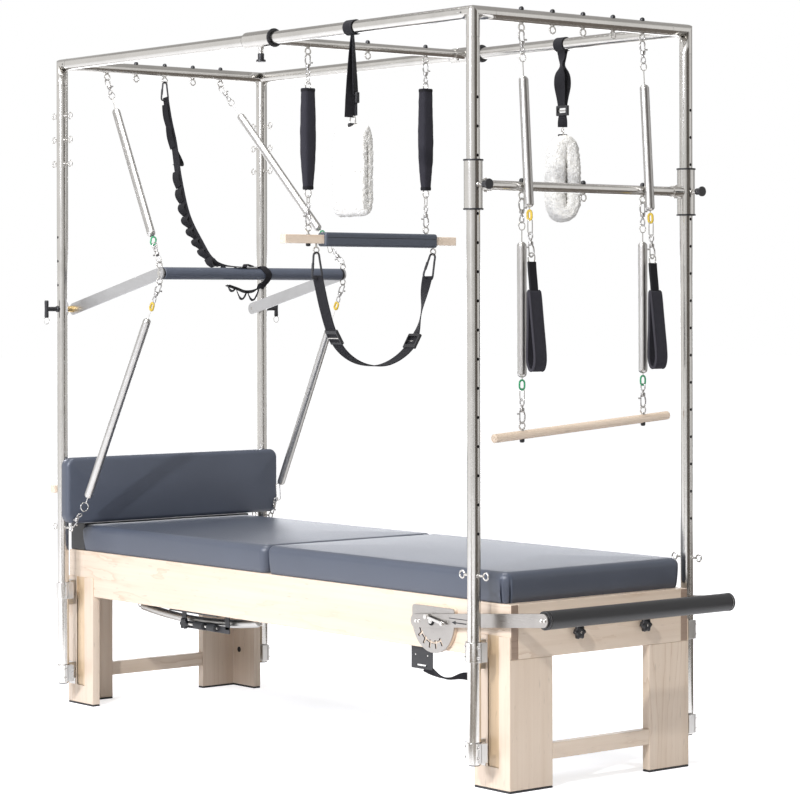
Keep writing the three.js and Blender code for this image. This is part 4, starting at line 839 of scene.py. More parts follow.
# Turned fittings: sides, rounding, finish, and rings as (distance from the seat, radius)
FITTINGS = {
    "eye shank": (20, 0.0003, STEEL, ((-0.001, 0.0068), (0.0016, 0.0068), (0.0016, 0.0036),
                                      (0.0045, 0.0036))),
    "eye cap": (20, 0.0004, PLASTIC, ((-0.001, 0.0072), (0.0035, 0.0072), (0.0065, 0.0058), (0.0084, 0.0034),
                                      (0.009, 0.0012))),
    "post eye": (18, 0.0003, STEEL, ((-0.002, 0.0062), (0.002, 0.0062), (0.002, 0.0034), (0.02, 0.0034))),
    "dowel eye": (18, 0.0003, STEEL, ((-0.001, 0.0058), (0.002, 0.0058), (0.002, 0.0032), (0.005, 0.0032))),
    "dowel nut": (20, 0.0008, PLASTIC, ((-0.002, 0.0072), (0.006, 0.0072), (0.009, 0.0045))),
    "slat eye": (18, 0.0003, STEEL, ((-0.001, 0.0062), (0.003, 0.0062), (0.003, 0.0034), (0.0135, 0.0034))),
    "slat nut": (20, 0.0008, PLASTIC, ((-0.001, 0.0075), (0.007, 0.0075), (0.009, 0.004))),
    "slat hanger": (18, 0.0003, STEEL, ((-0.001, 0.0034), (0.0135, 0.0034))),
    "hook gate": (12, 0.0004, HOOK, ((0, 0.0019), (0.023, 0.0019))),
    "hook thumb": (12, 0.0004, HOOK, ((0, 0.0017), (0.006, 0.0017), (0.006, 0.003), (0.009, 0.003))),
    "hook barrel": (20, 0.0006, HOOK, ((0, 0.0052), (0.003, 0.0072), (0.011, 0.0072), (0.013, 0.0048))),
    "hook swivel": (16, 0.0004, HOOK, ((0, 0.003), (0.004, 0.003), (0.004, 0.0046), (0.007, 0.0046))),
    "clamp body": (40, 0.0012, STEEL, ((0, 0.0236), (0.055, 0.0236))),
    "clamp screw": (18, 0.0003, STEEL, ((-0.001, 0.0044), (0.0026, 0.0044), (0.0026, 0.0022),
                                        (0.0008, 0.0018))),
    "clamp socket": (6, 0, SHADOW, ((0.0006, 0.0019), (0.0022, 0.0019))),
    "post plug": (32, 0.001, PLASTIC, ((-0.003, 0.0165), (0.002, 0.0165))),
    "corner dimple": (12, 0.0002, SHADOW, ((0, 0.0026), (0.0009, 0.0026))),
    "leg plug": (24, 0.0005, PLASTIC, ((-0.001, 0.0095), (0.0012, 0.0095))),
    "batten bolt": (16, 0, STEEL, ((0, 0.004), (0.05, 0.004))),
    "batten cap": (20, 0.001, PLASTIC, ((-0.001, 0.007), (0.003, 0.007))),
    "stub bolt": (18, 0.0004, STEEL, ((0.0155, 0.005), (0.0185, 0.005), (0.0205, 0.003))),
    "pin housing": (24, 0.0005, STEEL, ((-0.002, 0.009), (0.004, 0.009), (0.004, 0.0068), (0.012, 0.0068))),
    "pull pin": (20, 0.0003, STEEL, ((-0.0066, 0.0035), (0.0125, 0.0035), (0.0125, 0.0072),
                                     (0.0175, 0.0072))),
    "pull knob": (30, 0.0009, PLASTIC, ((0.0165, 0.0088), (0.0185, 0.0098), (0.0345, 0.0096), (0.036, 0.0146),
                                        (0.042, 0.0146))),
    "pivot bush": (32, 0.0007, "brass", ((0, 0.0105), (0.005, 0.0115), (0.0215, 0.0085))),
    "arm nut": (6, 0.0006, STEEL, ((0, 0.0085), (0.004, 0.0085))),
    "arm eye": (14, 0, STEEL, ((0, 0.0034), (0.017, 0.0034))),
    "grip end": (32, 0.001, PLASTIC, ((0, 0.0192), (0.006, 0.0192))),
    "pivot pin": (20, 0.0005, STEEL, ((0, 0.006), (0.09, 0.006))),
    "handle neck": (24, 0.0008, PLASTIC, ((0, 0.0105), (0.004, 0.0105), (0.006, 0.0078), (0.044, 0.0074))),
    "handle bar": (24, 0.0012, PLASTIC, ((0, 0.0058), (0.004, 0.0072), (0.029, 0.0066), (0.054, 0.0072),
                                         (0.058, 0.0058))),
    "plate stud": (24, 0, STEEL, ((0, 0.008), (0.02, 0.008))),
    # A thin disc in the deep shadow finish round the plate nut: painted shade of the hole in the arm.
    "plate hole shade": (28, 0.0003, SHADOW, ((0, 0.0138), (0.0008, 0.0138))),
    "plate nut": (6, 0.0008, STEEL, ((0, 0.0092), (0.0045, 0.0092), (0.0065, 0.0066))),
    "arm rivet": (18, 0.0006, STEEL, ((-0.001, 0.0058), (0.002, 0.0058), (0.0032, 0.004))),
    "latch stud": (16, 0.0004, STEEL, ((0, 0.003), (0.014, 0.003))),
    "latch hub": (20, 0.0008, STEEL, ((0, 0.0075), (0.006, 0.0075))),
    "latch knob": (20, 0.0008, STEEL, ((0, 0.006), (0.006, 0.007), (0.009, 0.005))),
    "knob boss": (28, 0.0006, PLASTIC, ((0, 0.0092), (0.003, 0.0092), (0.0045, 0.0075), (0.012, 0.0085))),
    "knob screw": (18, 0.0005, STEEL, ((0, 0.004), (0.0305, 0.004), (0.0318, 0.003))),
    "bracket rod": (18, 0.0005, STEEL, ((0, 0.005), (0.16, 0.005))),
    "long roller": (28, 0.001, RUBBER, ((0, 0.011), (0.004, 0.0125), (0.046, 0.0125), (0.05, 0.011))),
    "short roller": (28, 0.001, RUBBER, ((0, 0.011), (0.004, 0.0125), (0.036, 0.0125), (0.04, 0.011))),
    "strap rivet": (12, 0.0002, STEEL, ((-0.001, 0.0028), (0.001, 0.0022))),
    "sling bar": (14, 0.0006, STEEL, ((0, 0.0028), (0.052, 0.0028))),
    "buckle bar": (14, 0.0004, STEEL, ((0, 0.0024), (0.044, 0.0024))),
    "fleece keeper": (20, 0.001, PLASTIC, ((0, 0.0065), (0.028, 0.0065))),
}

# A snap hook's claw, and its other parts with their seats. A hook bears SEAT past its ring's middle.
CLAW = ((0, 0.0052, 0.036), (0, 0.0098, 0.026), (0, 0.0088, 0.011), (0, 0, 0.0022), (0, -0.0078, 0.008),
        (0, -0.009, 0.0165))
HOOK_PARTS = (("hook gate", (0, -0.0086, 0.0155), Z), ("hook thumb", (0, -0.0086, 0.029), -Y),
              ("hook barrel", (0, 0, 0.033), Z), ("hook swivel", (0, 0, 0.045), Z))
SEAT = 0.0051
THREAD = 0.0016
LINK_PITCH = 0.032
LINK_OVERLAP = 0.006
TAGS = {"green tag": (0.0095, 0.0027, X, 0.008, 26, 10), "yellow tag": (0.008, 0.0037, Y, 0.009, 26, 12)}

# Half of a carabiner's outline, in shares of its half width and its length
CARABINER = ((0.5, -0.06), (0.66, -0.3), (0.86, -0.62), (1, -0.88), (0.8, -1))


def fitting(name, seat, way):
    sides, rounding, finish, rings = FITTINGS[name]
    return turned(seat, way, rings, sides, rounding, finish)


def rod(origin, way, radius, length, sides, rounding=0.0, finish=STEEL):
    """A plain round rod from origin."""
    return turned(origin, way, ((0, radius), (length, radius)), sides, rounding, finish)


def eye_ring(spot, hole):
    return ring(spot, EYE, EYE_WIRE, hole, STEEL)


def eye_bolt(reach):
    """An eye bolt through a bar of that radius, its ring below and its black cap above."""
    return joined([fitting("eye shank", Z * -reach, -Z), eye_ring(Z * (-reach - EYE_DROP), X),
                   fitting("eye cap", Z * reach, Z)])


def at_each(pattern, spots):
    """Copies of a pattern piece, moved to each spot. The pattern itself goes."""
    copies = [copied(pattern, Matrix.Translation(spot)) for spot in spots]
    bpy.data.objects.remove(pattern)
    return copies


def snap_hook():
    """A swivel snap hook along Z, from its hook end at 0 to its swivel eye at HOOK_LENGTH."""
    eye = ring((0, 0, HOOK_LENGTH - 0.0105), 0.0082, 0.002, Y, HOOK, 0.003, Z, 24, 8)
    claw = wire(smooth_line(CLAW, 40), 0.0024, HOOK)
    return joined([claw, *[fitting(*part) for part in HOOK_PARTS], eye])


def towards(origin, way, hole):
    """The place of a thing modelled along Z that hangs on a ring whose hole faces hole."""
    third = Vector(way).normalized()
    side = third.cross(Vector(hole)).normalized()
    return placed(origin, side.cross(third), side, third)


def hook_pair(start, end, way, back, holes):
    """Snap hooks at both ends of a spring, each bearing on its ring."""
    hook = snap_hook()
    pair = [copied(hook, towards(start - way * SEAT, way, holes[0])),
            copied(hook, towards(end - back * SEAT, back, holes[1]))]
    bpy.data.objects.remove(hook)
    return pair


def coil_spring(origin, way, length, radius, pitch):
    """A close-wound spring: the outer arc of its wire screwed along its axis, its ends closed."""
    deselect()
    bpy.ops.mesh.primitive_circle_add(vertices=8, radius=pitch / 2, rotation=(math.pi / 2, 0, 0))
    piece = settle(bpy.context.object)
    with editing(piece):
        choose(piece, "VERT", lambda corner: corner.co.x < -pitch * 0.1)
        bpy.ops.mesh.delete(type="VERT")
        bpy.ops.mesh.select_all(action="SELECT")
        bpy.ops.transform.resize(value=(WINDING_RELIEF, 1, 1))
        bpy.ops.transform.translate(value=(radius, 0, pitch / 2))
    only(piece)
    screw = piece.modifiers.new("Winding", "SCREW")
    screw.screw_offset = pitch
    screw.iterations = max(int(length / pitch) - 1, 1)
    screw.steps = screw.render_steps = 20
    bpy.ops.object.modifier_apply(modifier=screw.name)
    with editing(piece):
        bpy.ops.mesh.select_all(action="SELECT")
        bpy.ops.mesh.remove_doubles(threshold=pitch * 0.02)
    for corner in piece.data.vertices:
        reach = max(min(corner.co.z, length - corner.co.z), 0)
        if reach < SPRING_TAPER:
            draw = 1 - 0.68 * (1 - reach / SPRING_TAPER) ** 2.2
            corner.co.x *= draw
            corner.co.y *= draw
    with editing(piece):
        bpy.ops.mesh.select_all(action="SELECT")
        bpy.ops.mesh.fill_holes(sides=0)
        bpy.ops.mesh.normals_make_consistent(inside=False)
    stand(piece, origin, way)
    return painted(smooth(piece, 80), "spring steel")


def spring_tag(place, way, finish):
    """A coated link that marks a spring's strength."""
    radius, thick, hole, stretch, steps, sides = TAGS[finish]
    return ring(place, radius, thick, hole, finish, stretch, way, steps, sides)


def hung_spring(start, end, holes, shares, tag, tag_first=False, knee=None):
    """A spring hung between two rings: hook, ring, spring, tag and links, and hook again.
    A knee is where the spring's own line ends and its last hook turns off."""
    start, end = Vector(start), Vector(end)
    last = Vector(knee) if knee else end
    total = (last - start).length
    way = (last - start).normalized()
    back = (last - end).normalized() if knee else -way
    low, high = (share * total for share in shares)
    parts = hook_pair(start, end, way, back, holes)
    parts.append(coil_spring(start + way * low, way, high - low, SPRING_RADIUS, sizes().spring_wire))
    reach = HOOK_LENGTH - SEAT
    radius = 0.0115
    thread = reach + 0.026
    if tag_first:
        parts.append(spring_tag(start + way * (reach + 0.014), way, tag))
    else:
        near_ring = reach + radius - 0.004
        parts.append(ring(start + way * near_ring, radius, 0.0017, holes[0], STEEL, 0, way, 26, 8))
        thread = near_ring + radius - 0.001
    parts.append(rod(start + way * thread, way, THREAD, low + 0.004 - thread, 10))
    lead = start + way * (high - 0.004)
    if knee:
        return parts + [ring(last - way * 0.012, 0.0145, 0.0018, X, STEEL, 0, way, 30, 8),
                        rod(lead, way, THREAD, total - 0.022 - high, 10)]
    inner = high + 0.003
    if not tag_first:
        parts += [rod(lead, way, THREAD, 0.01, 10), spring_tag(start + way * (high + 0.02), way, tag)]
        inner = high + 0.033
    room = total - reach + 0.004 - inner
    links = max(int(room / LINK_PITCH), 1) if room > 0.004 else 0
    for k in range(links):
        step = room / links + LINK_OVERLAP
        middle = start + way * (inner + room / links * (k + 0.5))
        radius = min(0.0085, step / 2)
        stretch = max(step - 2 * radius, 0)
        parts.append(ring(middle, radius, THREAD, Y if k % 2 else X, STEEL, stretch, way, 24, 8))
    return parts


def carabiner(length, width, thick):
    """A D-shaped carabiner hanging down from the origin, in the YZ plane."""
    half = width / 2
    outline = [(0, 0), *CARABINER, (0, -1.01), *[(-y, z) for y, z in reversed(CARABINER)]]
    line = smooth_line([(0, y * half, z * length) for y, z in outline], 56, True)
    gate = rod((0, -half * 0.9, -0.7 * length), (0, 0.2 * half, 0.4 * length), thick * 1.25, 0.3 * length, 16,
               0.0005, COAT)
    return joined([wire(line, thick, COAT, True, 3), gate])


def beam_seat(x, y, z, reach):
    """Where something hangs on an eye bolt's ring."""
    return at(x, y, z - reach - EYE_DROP - EYE)


# The canopy
# A clamp's plates as (low corner, high corner, rounding), and the seats of its screws
CLAMP_PLATES = (((-0.031, -0.0068, 0), (0.031, -0.0004, 0.055), 0.0011),
                ((-0.031, 0.0004, 0), (0.031, 0.0225, 0.055), 0.0014),
                ((-0.033, 0.019, 0), (-0.028, 0.0697, 0.055), 0.001))
SADDLE_SCREWS = [(x, -0.0068, z) for x in (-0.0268, 0.0268) for z in (0.013, 0.042)]
WING_SCREWS = [(x, 0.0647, z) for x in (-0.06, -0.042) for z in (0.014, 0.041)]
TONGUE_SCREWS = [(-0.05, 0.0647, z) for z in (-0.008, 0.03)]
CLAMP_HEIGHTS = (0.362, 0.086)


def clamp(tongue):
    """A saddle clamp for a near post, its post's axis at the origin and its foot at z 0."""
    parts = [fitting("clamp body", (0, 0, 0), Z)]
    parts += [board(low, high, rounding, CAST) for low, high, rounding in CLAMP_PLATES]
    foot = -0.02 if tongue else 0
    wing = board((-0.072, 0.0647, foot), (-0.028, 0.0697, 0.055), 0.0008, CAST, 2)
    parts.append(wing)
    if tongue:
        eased(wing, lambda place: place.z < foot + 0.002, Y, 0.016, 6)
    else:
        gusset = board((-0.033, 0.04, -0.027), (-0.028, 0.0697, 0.0005), 0.0005, CAST, 1)
        eased(gusset, lambda place: place.z < -0.026 and place.y < 0.042, X, 0.023, 1)
        parts.append(smooth(gusset))
    screw = joined([fitting("clamp screw", (0, 0, 0), -Y), fitting("clamp socket", (0, 0, 0), -Y)])
    parts += at_each(screw, SADDLE_SCREWS + (TONGUE_SCREWS if tongue else WING_SCREWS))
    return joined(parts)


def post_eyes(spot):
    """A through eye bolt on a post, with a ring on both sides."""
    parts = []
    for way in (X, -X):
        parts += [fitting("post eye", spot + way * TUBE, way),
                  eye_ring(spot + way * (TUBE + EYE_STAND_OFF + EYE_DROP), Y)]
    return parts


def mitred_arm(corner, along, others, length):
    """One arm of a three-way corner, cut off at 45 degrees against the other two."""
    arm = turned(corner, along, [(-0.04, TUBE), (length, TUBE)], 48, 0, STEEL)
    with editing(arm):
        for other in others:
            bpy.ops.mesh.select_all(action="SELECT")
            bpy.ops.mesh.bisect(plane_co=corner, plane_no=other - along, clear_outer=True, use_fill=True)
    return smooth(arm)


class CANOPY_OT_posts(bpy.types.Operator):
    """Builds the four posts with their clamps, eye rings and drilled holes"""

    bl_idname = "trapeze.posts"
    bl_label = "Posts"

    def execute(self, context):
        clamps = [clamp(False), clamp(True)]
        for end, e in ENDS.items():
            eyes = [LOW_EYE]
            if end == "head":
                eyes += [HIGH_EYE + k * HOLE_PITCH for k in range(3)]
            for side, s in SIDES.items():
                x, y = e * POST_X, s * POST_Y
                tube = rod(at(x, y, POST_FOOT), Z, TUBE, POST_TOP - POST_FOOT, 48, sizes().metal_rounding)
                if end == "foot":
                    spots = [at(x + TUBE, y, SLIDER + k * HOLE_PITCH) for k in range(-12, 4)]
                else:
                    spots = [at(x, y + s * TUBE, PIVOT + k * HOLE_PITCH) for k in range(1, 4)]
                drill = rods(spots, X if end == "foot" else Y, HOLE_RADIUS, HOLE_RADIUS)
                parts = [smooth(carved(tube, drill, SHADOW)), fitting("post plug", at(x, y, POST_FOOT), Z)]
                flip = Matrix.Scale(-s, 4, Y)
                for pattern, foot in zip(clamps, CLAMP_HEIGHTS):
                    parts.append(copied(pattern, Matrix.Translation(at(x, y, foot)) @ flip))
                for z in eyes:
                    parts += post_eyes(at(x, y, z))
                dress(f"tube_{end}_{side}", parts, [f"post_{end}_{side}"])
        for pattern in clamps:
            bpy.data.objects.remove(pattern)
        return {"FINISHED"}


class CANOPY_OT_beams(bpy.types.Operator):
    """Builds the long beams with their three-way corners, and the cross beams with their eyes"""

    bl_idname = "trapeze.beams"
    bl_label = "Beams"

    def execute(self, context):
        rounding = sizes().metal_rounding * 0.6
        for side, s in SIDES.items():
            reach = POST_X - FITTING_ALONG - SEAM
            parts = [rod(at(-reach, s * POST_Y, BEAM), X, TUBE, 2 * reach, 48, rounding)]
            for e in ENDS.values():
                corner = at(e * POST_X, s * POST_Y, BEAM)
                ways = [(-e * X, FITTING_ALONG), (-s * Y, FITTING), (-Z, FITTING)]
                for way, length in ways:
                    others = [other for other, _ in ways if other != way]
                    parts.append(mitred_arm(corner, way, others, length))
                for way in (Y * s, Z):
                    seat = corner - e * X * (FITTING_ALONG - 0.012) + way * (TUBE - 0.0006)
                    parts.append(fitting("corner dimple", seat, way))
            dress(f"beam_{side}", parts, [f"long_beam_{side}"])
        reach = POST_Y - FITTING - SEAM
        for end, e in ENDS.items():
            parts = [rod(at(e * POST_X, -reach, BEAM), Y, TUBE, 2 * reach, 48, rounding)]
            parts += at_each(eye_bolt(TUBE), [at(e * POST_X, k * EYE_PITCH, BEAM) for k in range(-2, 3)])
            dress(f"crossing_{end}", parts, [f"cross_beam_{end}"])
        return {"FINISHED"}


# The wooden table
def leg_board(e, s, foot, top, rounding, finish):
    """An L of two boards in plan: a corner column drawn out along the rail and along the end."""
    outer_x, outer_y = e * BED_X, s * LEG_Y
    inner_x = outer_x - e * BOARD
    piece = block((inner_x, outer_y - s * BOARD, foot), (outer_x, outer_y, top))
    with editing(piece):
        choose(piece, "FACE", lambda face: face.normal.x * e < -0.9)
        bpy.ops.mesh.extrude_region_move(
            TRANSFORM_OT_translate={"value": (-e * (LEG_ALONG_X - BOARD), 0, 0)})
        choose(piece, "FACE", lambda face: face.normal.y * s < -0.9
               and (face.calc_center_median().x - inner_x) * e > 0)
        bpy.ops.mesh.extrude_region_move(
            TRANSFORM_OT_translate={"value": (0, -s * (LEG_ALONG_Y - BOARD), 0)})
        bpy.ops.mesh.select_all(action="SELECT")
        bpy.ops.transform.translate(value=(MIDDLE, 0, 0))
    rounded(piece, rounding, 3)
    return painted(smooth(piece), finish)


class TABLE_OT_woodwork(bpy.types.Operator):
    """Builds the rails, end boards, legs, stretchers, batten and foot pads"""

    bl_idname = "trapeze.woodwork"
    bl_label = "Woodwork"

    def execute(self, context):
        ease = sizes().wood_rounding
        for side, s in SIDES.items():
            rail = board(at(-BED_X, s * BED_Y, RAIL_FOOT), at(BED_X, s * (BED_Y - BOARD), RAIL_TOP), ease,
                         "maple along")
            # The rail's end faces take the end-grain maple, partly its own tone and partly painted shade.
            rail.data.materials.append(bpy.data.materials["maple end grain and shade"])
            for face in rail.data.polygons:
                if abs(face.normal.x) > 0.9:
                    face.material_index = 1
            dress(f"side_rail_{side}", [rail], [f"rail_{side}"])
        inner = BED_Y - BOARD - SEAM
        reach = LEG_Y - LEG_ALONG_Y - SEAM
        for end, e in ENDS.items():
            front, back = e * BED_X, e * (BED_X - BOARD)
            end_rail = board(at(front, -inner, RAIL_FOOT), at(back, inner, RAIL_TOP), ease * 0.6, CROSSWISE)
            dress(f"end_rail_{end}", [end_rail], [f"end_board_{end}"])
            low_rail = board(at(front, -reach, LOW_RAIL[0]), at(back, reach, LOW_RAIL[1]), ease, CROSSWISE)
            dress(f"low_rail_{end}", [low_rail], [f"stretcher_{end}"])
            for side, s in SIDES.items():
                self.leg(e, s, ease, f"{end}_{side}")
        face = -POST_X - TUBE - SEAM
        parts = [board(at(face - 0.025, -0.437, 0.715), at(face, 0.437, 0.74), ease, CROSSWISE)]
        for y in (-0.3, 0.3):
            parts += [fitting("batten bolt", at(face - 0.012, y, 0.7275), X),
                      fitting("batten cap", at(face - 0.025, y, 0.7275), -X)]
        dress("batten", parts, ["headboard_batten"])
        return {"FINISHED"}

    def leg(self, e, s, ease, place):
        """A leg: its column, the lap over the rail, the groove behind the post with painted shade in it, and
        its pad.
        """
        column = leg_board(e, s, PAD + SEAM, RAIL_FOOT - SEAM, ease * 0.8, "maple upright")
        lap = board(at(e * (BED_X - 0.0004), s * (LEG_Y + 0.0002), PAD + 0.004),
                    at(e * (BED_X - LEG_ALONG_X + 0.0004), s * (BED_Y + SEAM), LAP_TOP), 0.0009,
                    "maple upright")
        middle = e * POST_X + 0.004
        # The groove's cut faces take the darker groove maple, as painted shade in the recess.
        for part, depth in ((column, 0.0034), (lap, 0.003)):
            groove = board(at(middle - 0.023, s * (LEG_Y - depth), 0.0655),
                           at(middle + 0.023, s * (LEG_Y + 0.004), LAP_TOP + 0.004), 0.0004,
                           "shaded maple groove", 1)
            carved(part, groove, "shaded maple groove")
        plug = fitting("leg plug", at(e * 1.06, s * (LEG_Y - BOARD), 0.129), -s * Y)
        dress(f"table_leg_{place}", [smooth(column), smooth(lap), plug], [f"leg_{place}"])
        pad = leg_board(e, s, 0, PAD, 0.0015, RUBBER)
        dress(f"pad_{place}", [pad], [f"foot_pad_{place}"])


# Mats and cushion
CORNER_STEPS = 30
EDGE_STEPS = 14
SIDE_STEPS = 8
CROWN_SHARES = (0.06, 0.14, 0.26, 0.42, 0.62, 0.82, 0.96)
QUARTERS = ((1, 1), (-1, 1), (-1, -1), (1, -1))


def mat_plan(length, width, corner, inset):
    """A mat's rounded outline, as (u, v, quarter, share of its turn), or share -1 along an edge."""
    radius = min(max(corner - inset, corner * 0.25), (min(length, width) / 2 - inset) * 0.8)
    reach = Vector((length / 2 - inset - radius, width / 2 - inset - radius))
    points = []
    for n, quarter in enumerate(QUARTERS):
        centre = reach * Vector(quarter)
        for k in range(CORNER_STEPS + 1):
            angle = math.pi / 2 * (n + k / CORNER_STEPS)
            edge = radius * Vector((math.cos(angle), math.sin(angle)))
            points.append((*(centre + edge), n, k / CORNER_STEPS))
        start, end = centre + edge, reach * Vector(QUARTERS[(n + 1) % 4]) + edge
        points += [(*start.lerp(end, k / EDGE_STEPS), n, -1) for k in range(1, EDGE_STEPS)]
    return points


def stuffed(length, width, height, corner, shoulder, crown, draw_in, pleats, place, finish):
    """A stuffed mat: rounded plan, sides drawn in below, soft shoulders, a crown and pleats.
    It is modelled flat, its height up Z from 0, and then put in its place."""
    rim = height - crown
    side = rim - shoulder
    levels = [(draw_in + 0.006, 0.0), (draw_in + 0.001, 0.0008)]
    steps = [k / SIDE_STEPS for k in range(1, SIDE_STEPS + 1)]
    levels += [(draw_in * (1 - share) ** 2, side * share) for share in steps]
    levels += [(shoulder * (1 - math.cos(turn)), side + shoulder * math.sin(turn))
               for turn in (math.pi / 2 * share for share in steps)]
    levels += [(shoulder + share * (width / 2 - shoulder), rim + crown * math.sin(math.pi / 2 * share) ** 0.9)
               for share in CROWN_SHARES]
    corners = []
    for inset, up in levels:
        for u, v, n, share in mat_plan(length, width, corner, inset):
            fold = 0.0
            if share >= 0 and up < rim - 0.004 and n in pleats:
                fade = min(1, (1 - up / (rim * 0.86)) * 1.6) if up < rim * 0.86 else 0
                for spot in pleats[n]:
                    lean = spot + 0.05 * (1 - up / rim) * (1 if spot > 0.5 else -1)
                    fold += fade * math.exp(-((share - lean) / 0.05) ** 2)
            away = Vector((u, v)).normalized() * fold * sizes().pleat_depth
            ripple = noise.noise((u * 6, v * 6, up * 9)) * 0.00054 if up > 0.001 else 0
            corners.append((u - away.x, v - away.y, up + ripple))
    count = len(corners) // len(levels)
    faces = rows_of_faces(len(levels), count, False)
    piece = from_mesh("mat", corners, faces)
    piece.data.transform(place)
    if place.determinant() < 0:
        piece.data.flip_normals()
    return painted(smooth(piece, 55), finish)


class TABLE_OT_mats(bpy.types.Operator):
    """Builds the two mats with their pleated corners, and the upright headboard cushion"""

    bl_idname = "trapeze.mats"
    bl_label = "Mats"

    def execute(self, context):
        foot = RAIL_TOP + SEAM
        for name, low, high, pleats in (("head", -1.06, -0.012, {1: (0.3, 0.7), 2: (0.3, 0.7)}),
                                        ("foot", -0.01, 1.102, {0: (0.22, 0.72), 3: (0.22, 0.74)})):
            place = Matrix.Translation(at((low + high) / 2, 0, foot))
            parts = [stuffed(high - low, 2 * BED_Y, MAT_TOP - foot, 0.03, 0.022, sizes().mat_crown, 0.006,
                             pleats, place, VINYL)]
            if name == "head":
                # A near-black block under the headboard's foot: painted shade in the gap between the
                # headboard and the head mat.
                parts.append(board(at(-1.117, 0.002 - BED_Y, foot), at(-1.03, BED_Y - 0.002, MAT_TOP - 0.001),
                                   0.005, "grip vinyl and gap shade"))
            mat = dress(f"mat_{name}_cover", parts, [f"mat_{name}"])
        place = placed(at(-POST_X + TUBE + SEAM, 0, 0.7255), Y, Z, X)
        cushion = stuffed(0.874, 0.2205, 0.05, 0.03, 0.014, 0.005, 0.003, {}, place, VINYL)
        cushion = dress("headboard_cover", [cushion], ["headboard_cushion"])
        return {"FINISHED"}


# Bars that slide
BUSH = (0.005, 0.003)


def sleeve(centre, way, lips=(1, -1)):
    """A sleeve on a tube with black bushes, proud at the ends that lips names."""
    half = SLEEVE_LENGTH / 2
    parts = [turned(centre, way, [(-half + 0.003, SLEEVE), (half - 0.003, SLEEVE)], 48,
                    sizes().metal_rounding, STEEL)]
    for side in (1, -1):
        radius = SLEEVE + (0.0022 if side in lips else -0.0012)
        rings = [(0, radius), (BUSH[0], radius), (BUSH[0], TUBE + 0.0015), (BUSH[1], TUBE + 0.0015)]
        parts.append(turned(centre + way * side * (half - BUSH[0]), way * side, rings, 48, 0.0008, PLASTIC))
    return parts


def pull_pin(centre, way):
    """The housing that stays on the sleeve, and the pin with its knob."""
    seat = centre + way * SLEEVE
    pin = [fitting("pull pin", seat, way), fitting("pull knob", seat, way)]
    return [fitting("pin housing", seat, way)], pin


def sliding_set(x, z, way, lips=(1, -1)):
    """A cross bar between two sleeves, with bolted stubs and three eye bolts."""
    inner = POST_Y - SLEEVE
    parts = [rod(at(x, -inner, z), Y, CROSS_BAR, 2 * inner, 40)]
    for s in SIDES.values():
        parts += sleeve(at(x, s * POST_Y, z), way, lips)
        parts.append(rod(at(x, s * (inner + 0.004), z), -s * Y, 0.0165, 0.04, 40, sizes().metal_rounding))
        parts += [fitting("stub bolt", at(x, s * (inner - 0.018), z), up) for up in (Z, -Z)]
    return parts + at_each(eye_bolt(CROSS_BAR), [at(x, k * EYE_PITCH, z) for k in (-2, 0, 2)])


class BARS_OT_sliding(bpy.types.Operator):
    """Builds the height-adjustable bar, its pull pins, the dowel below it and its springs"""

    bl_idname = "trapeze.sliding_bar"
    bl_label = "Sliding bar"

    def execute(self, context):
        parts = sliding_set(POST_X, SLIDER, Z)
        for side, s in SIDES.items():
            housing, knob = pull_pin(at(POST_X, s * POST_Y, SLIDER), X)
            parts += housing
            dress(f"slider_knob_{side}", knob, [f"sliding_bar_pin_{side}"])
        dress("slider", parts, ["sliding_bar"])
        start, end = (at(POST_X, y, z) for y, z in DOWEL_ENDS)
        length = (end - start).length
        tip = 0.003
        parts = [turned(start, end - start, [(0, DOWEL - tip), (tip, DOWEL), (length - tip, DOWEL),
                                             (length, DOWEL - tip)], 32, 0.001, CROSSWISE)]
        for side, s in SIDES.items():
            y = s * 2 * EYE_PITCH
            middle = start.lerp(end, (y - start.y) / (end.y - start.y))
            top, under = middle + Z * DOWEL, middle - Z * DOWEL
            parts += [fitting("dowel eye", top, Z), eye_ring(top + Z * EYE_DROP, X),
                      fitting("dowel nut", under, -Z)]
            spring = hung_spring(beam_seat(POST_X, y, SLIDER, CROSS_BAR), top + Z * (EYE_DROP + EYE), (X, X),
                                 (0.19, 0.8 if side == "near" else 0.838), "green tag")
            dress(f"dowel_coil_{side}", spring, [f"dowel_spring_{side}"])
        dress("dowel_bar", parts, ["dowel"])
        return {"FINISHED"}


# How wide a covered spring is along its length, and the sling's route as (across, drop) shares
COVER_WIDTHS = (0.9, 0.93, 0.96, 0.99, 1.02, 1.04, 1.03, 1.0, 0.95, 0.86, 0.74, 0.66)
SLING_ROUTE = ((-0.98, 0), (-0.93, 0.16), (-0.86, 0.37), (-0.76, 0.6), (-0.62, 0.79), (-0.42, 0.92),
               (-0.18, 0.99), (0.1, 1), (0.36, 0.93), (0.58, 0.8), (0.72, 0.61), (0.8, 0.38), (0.85, 0.17),
               (0.9, 0))
SLING_ENDS = ((-0.205, 3), (0.266, -17))
SLING_LOW = 1.154
BUCKLES = ((3, 0.026), (9, 0.022))
SIGHT = Vector((0.77, -0.63, 0))


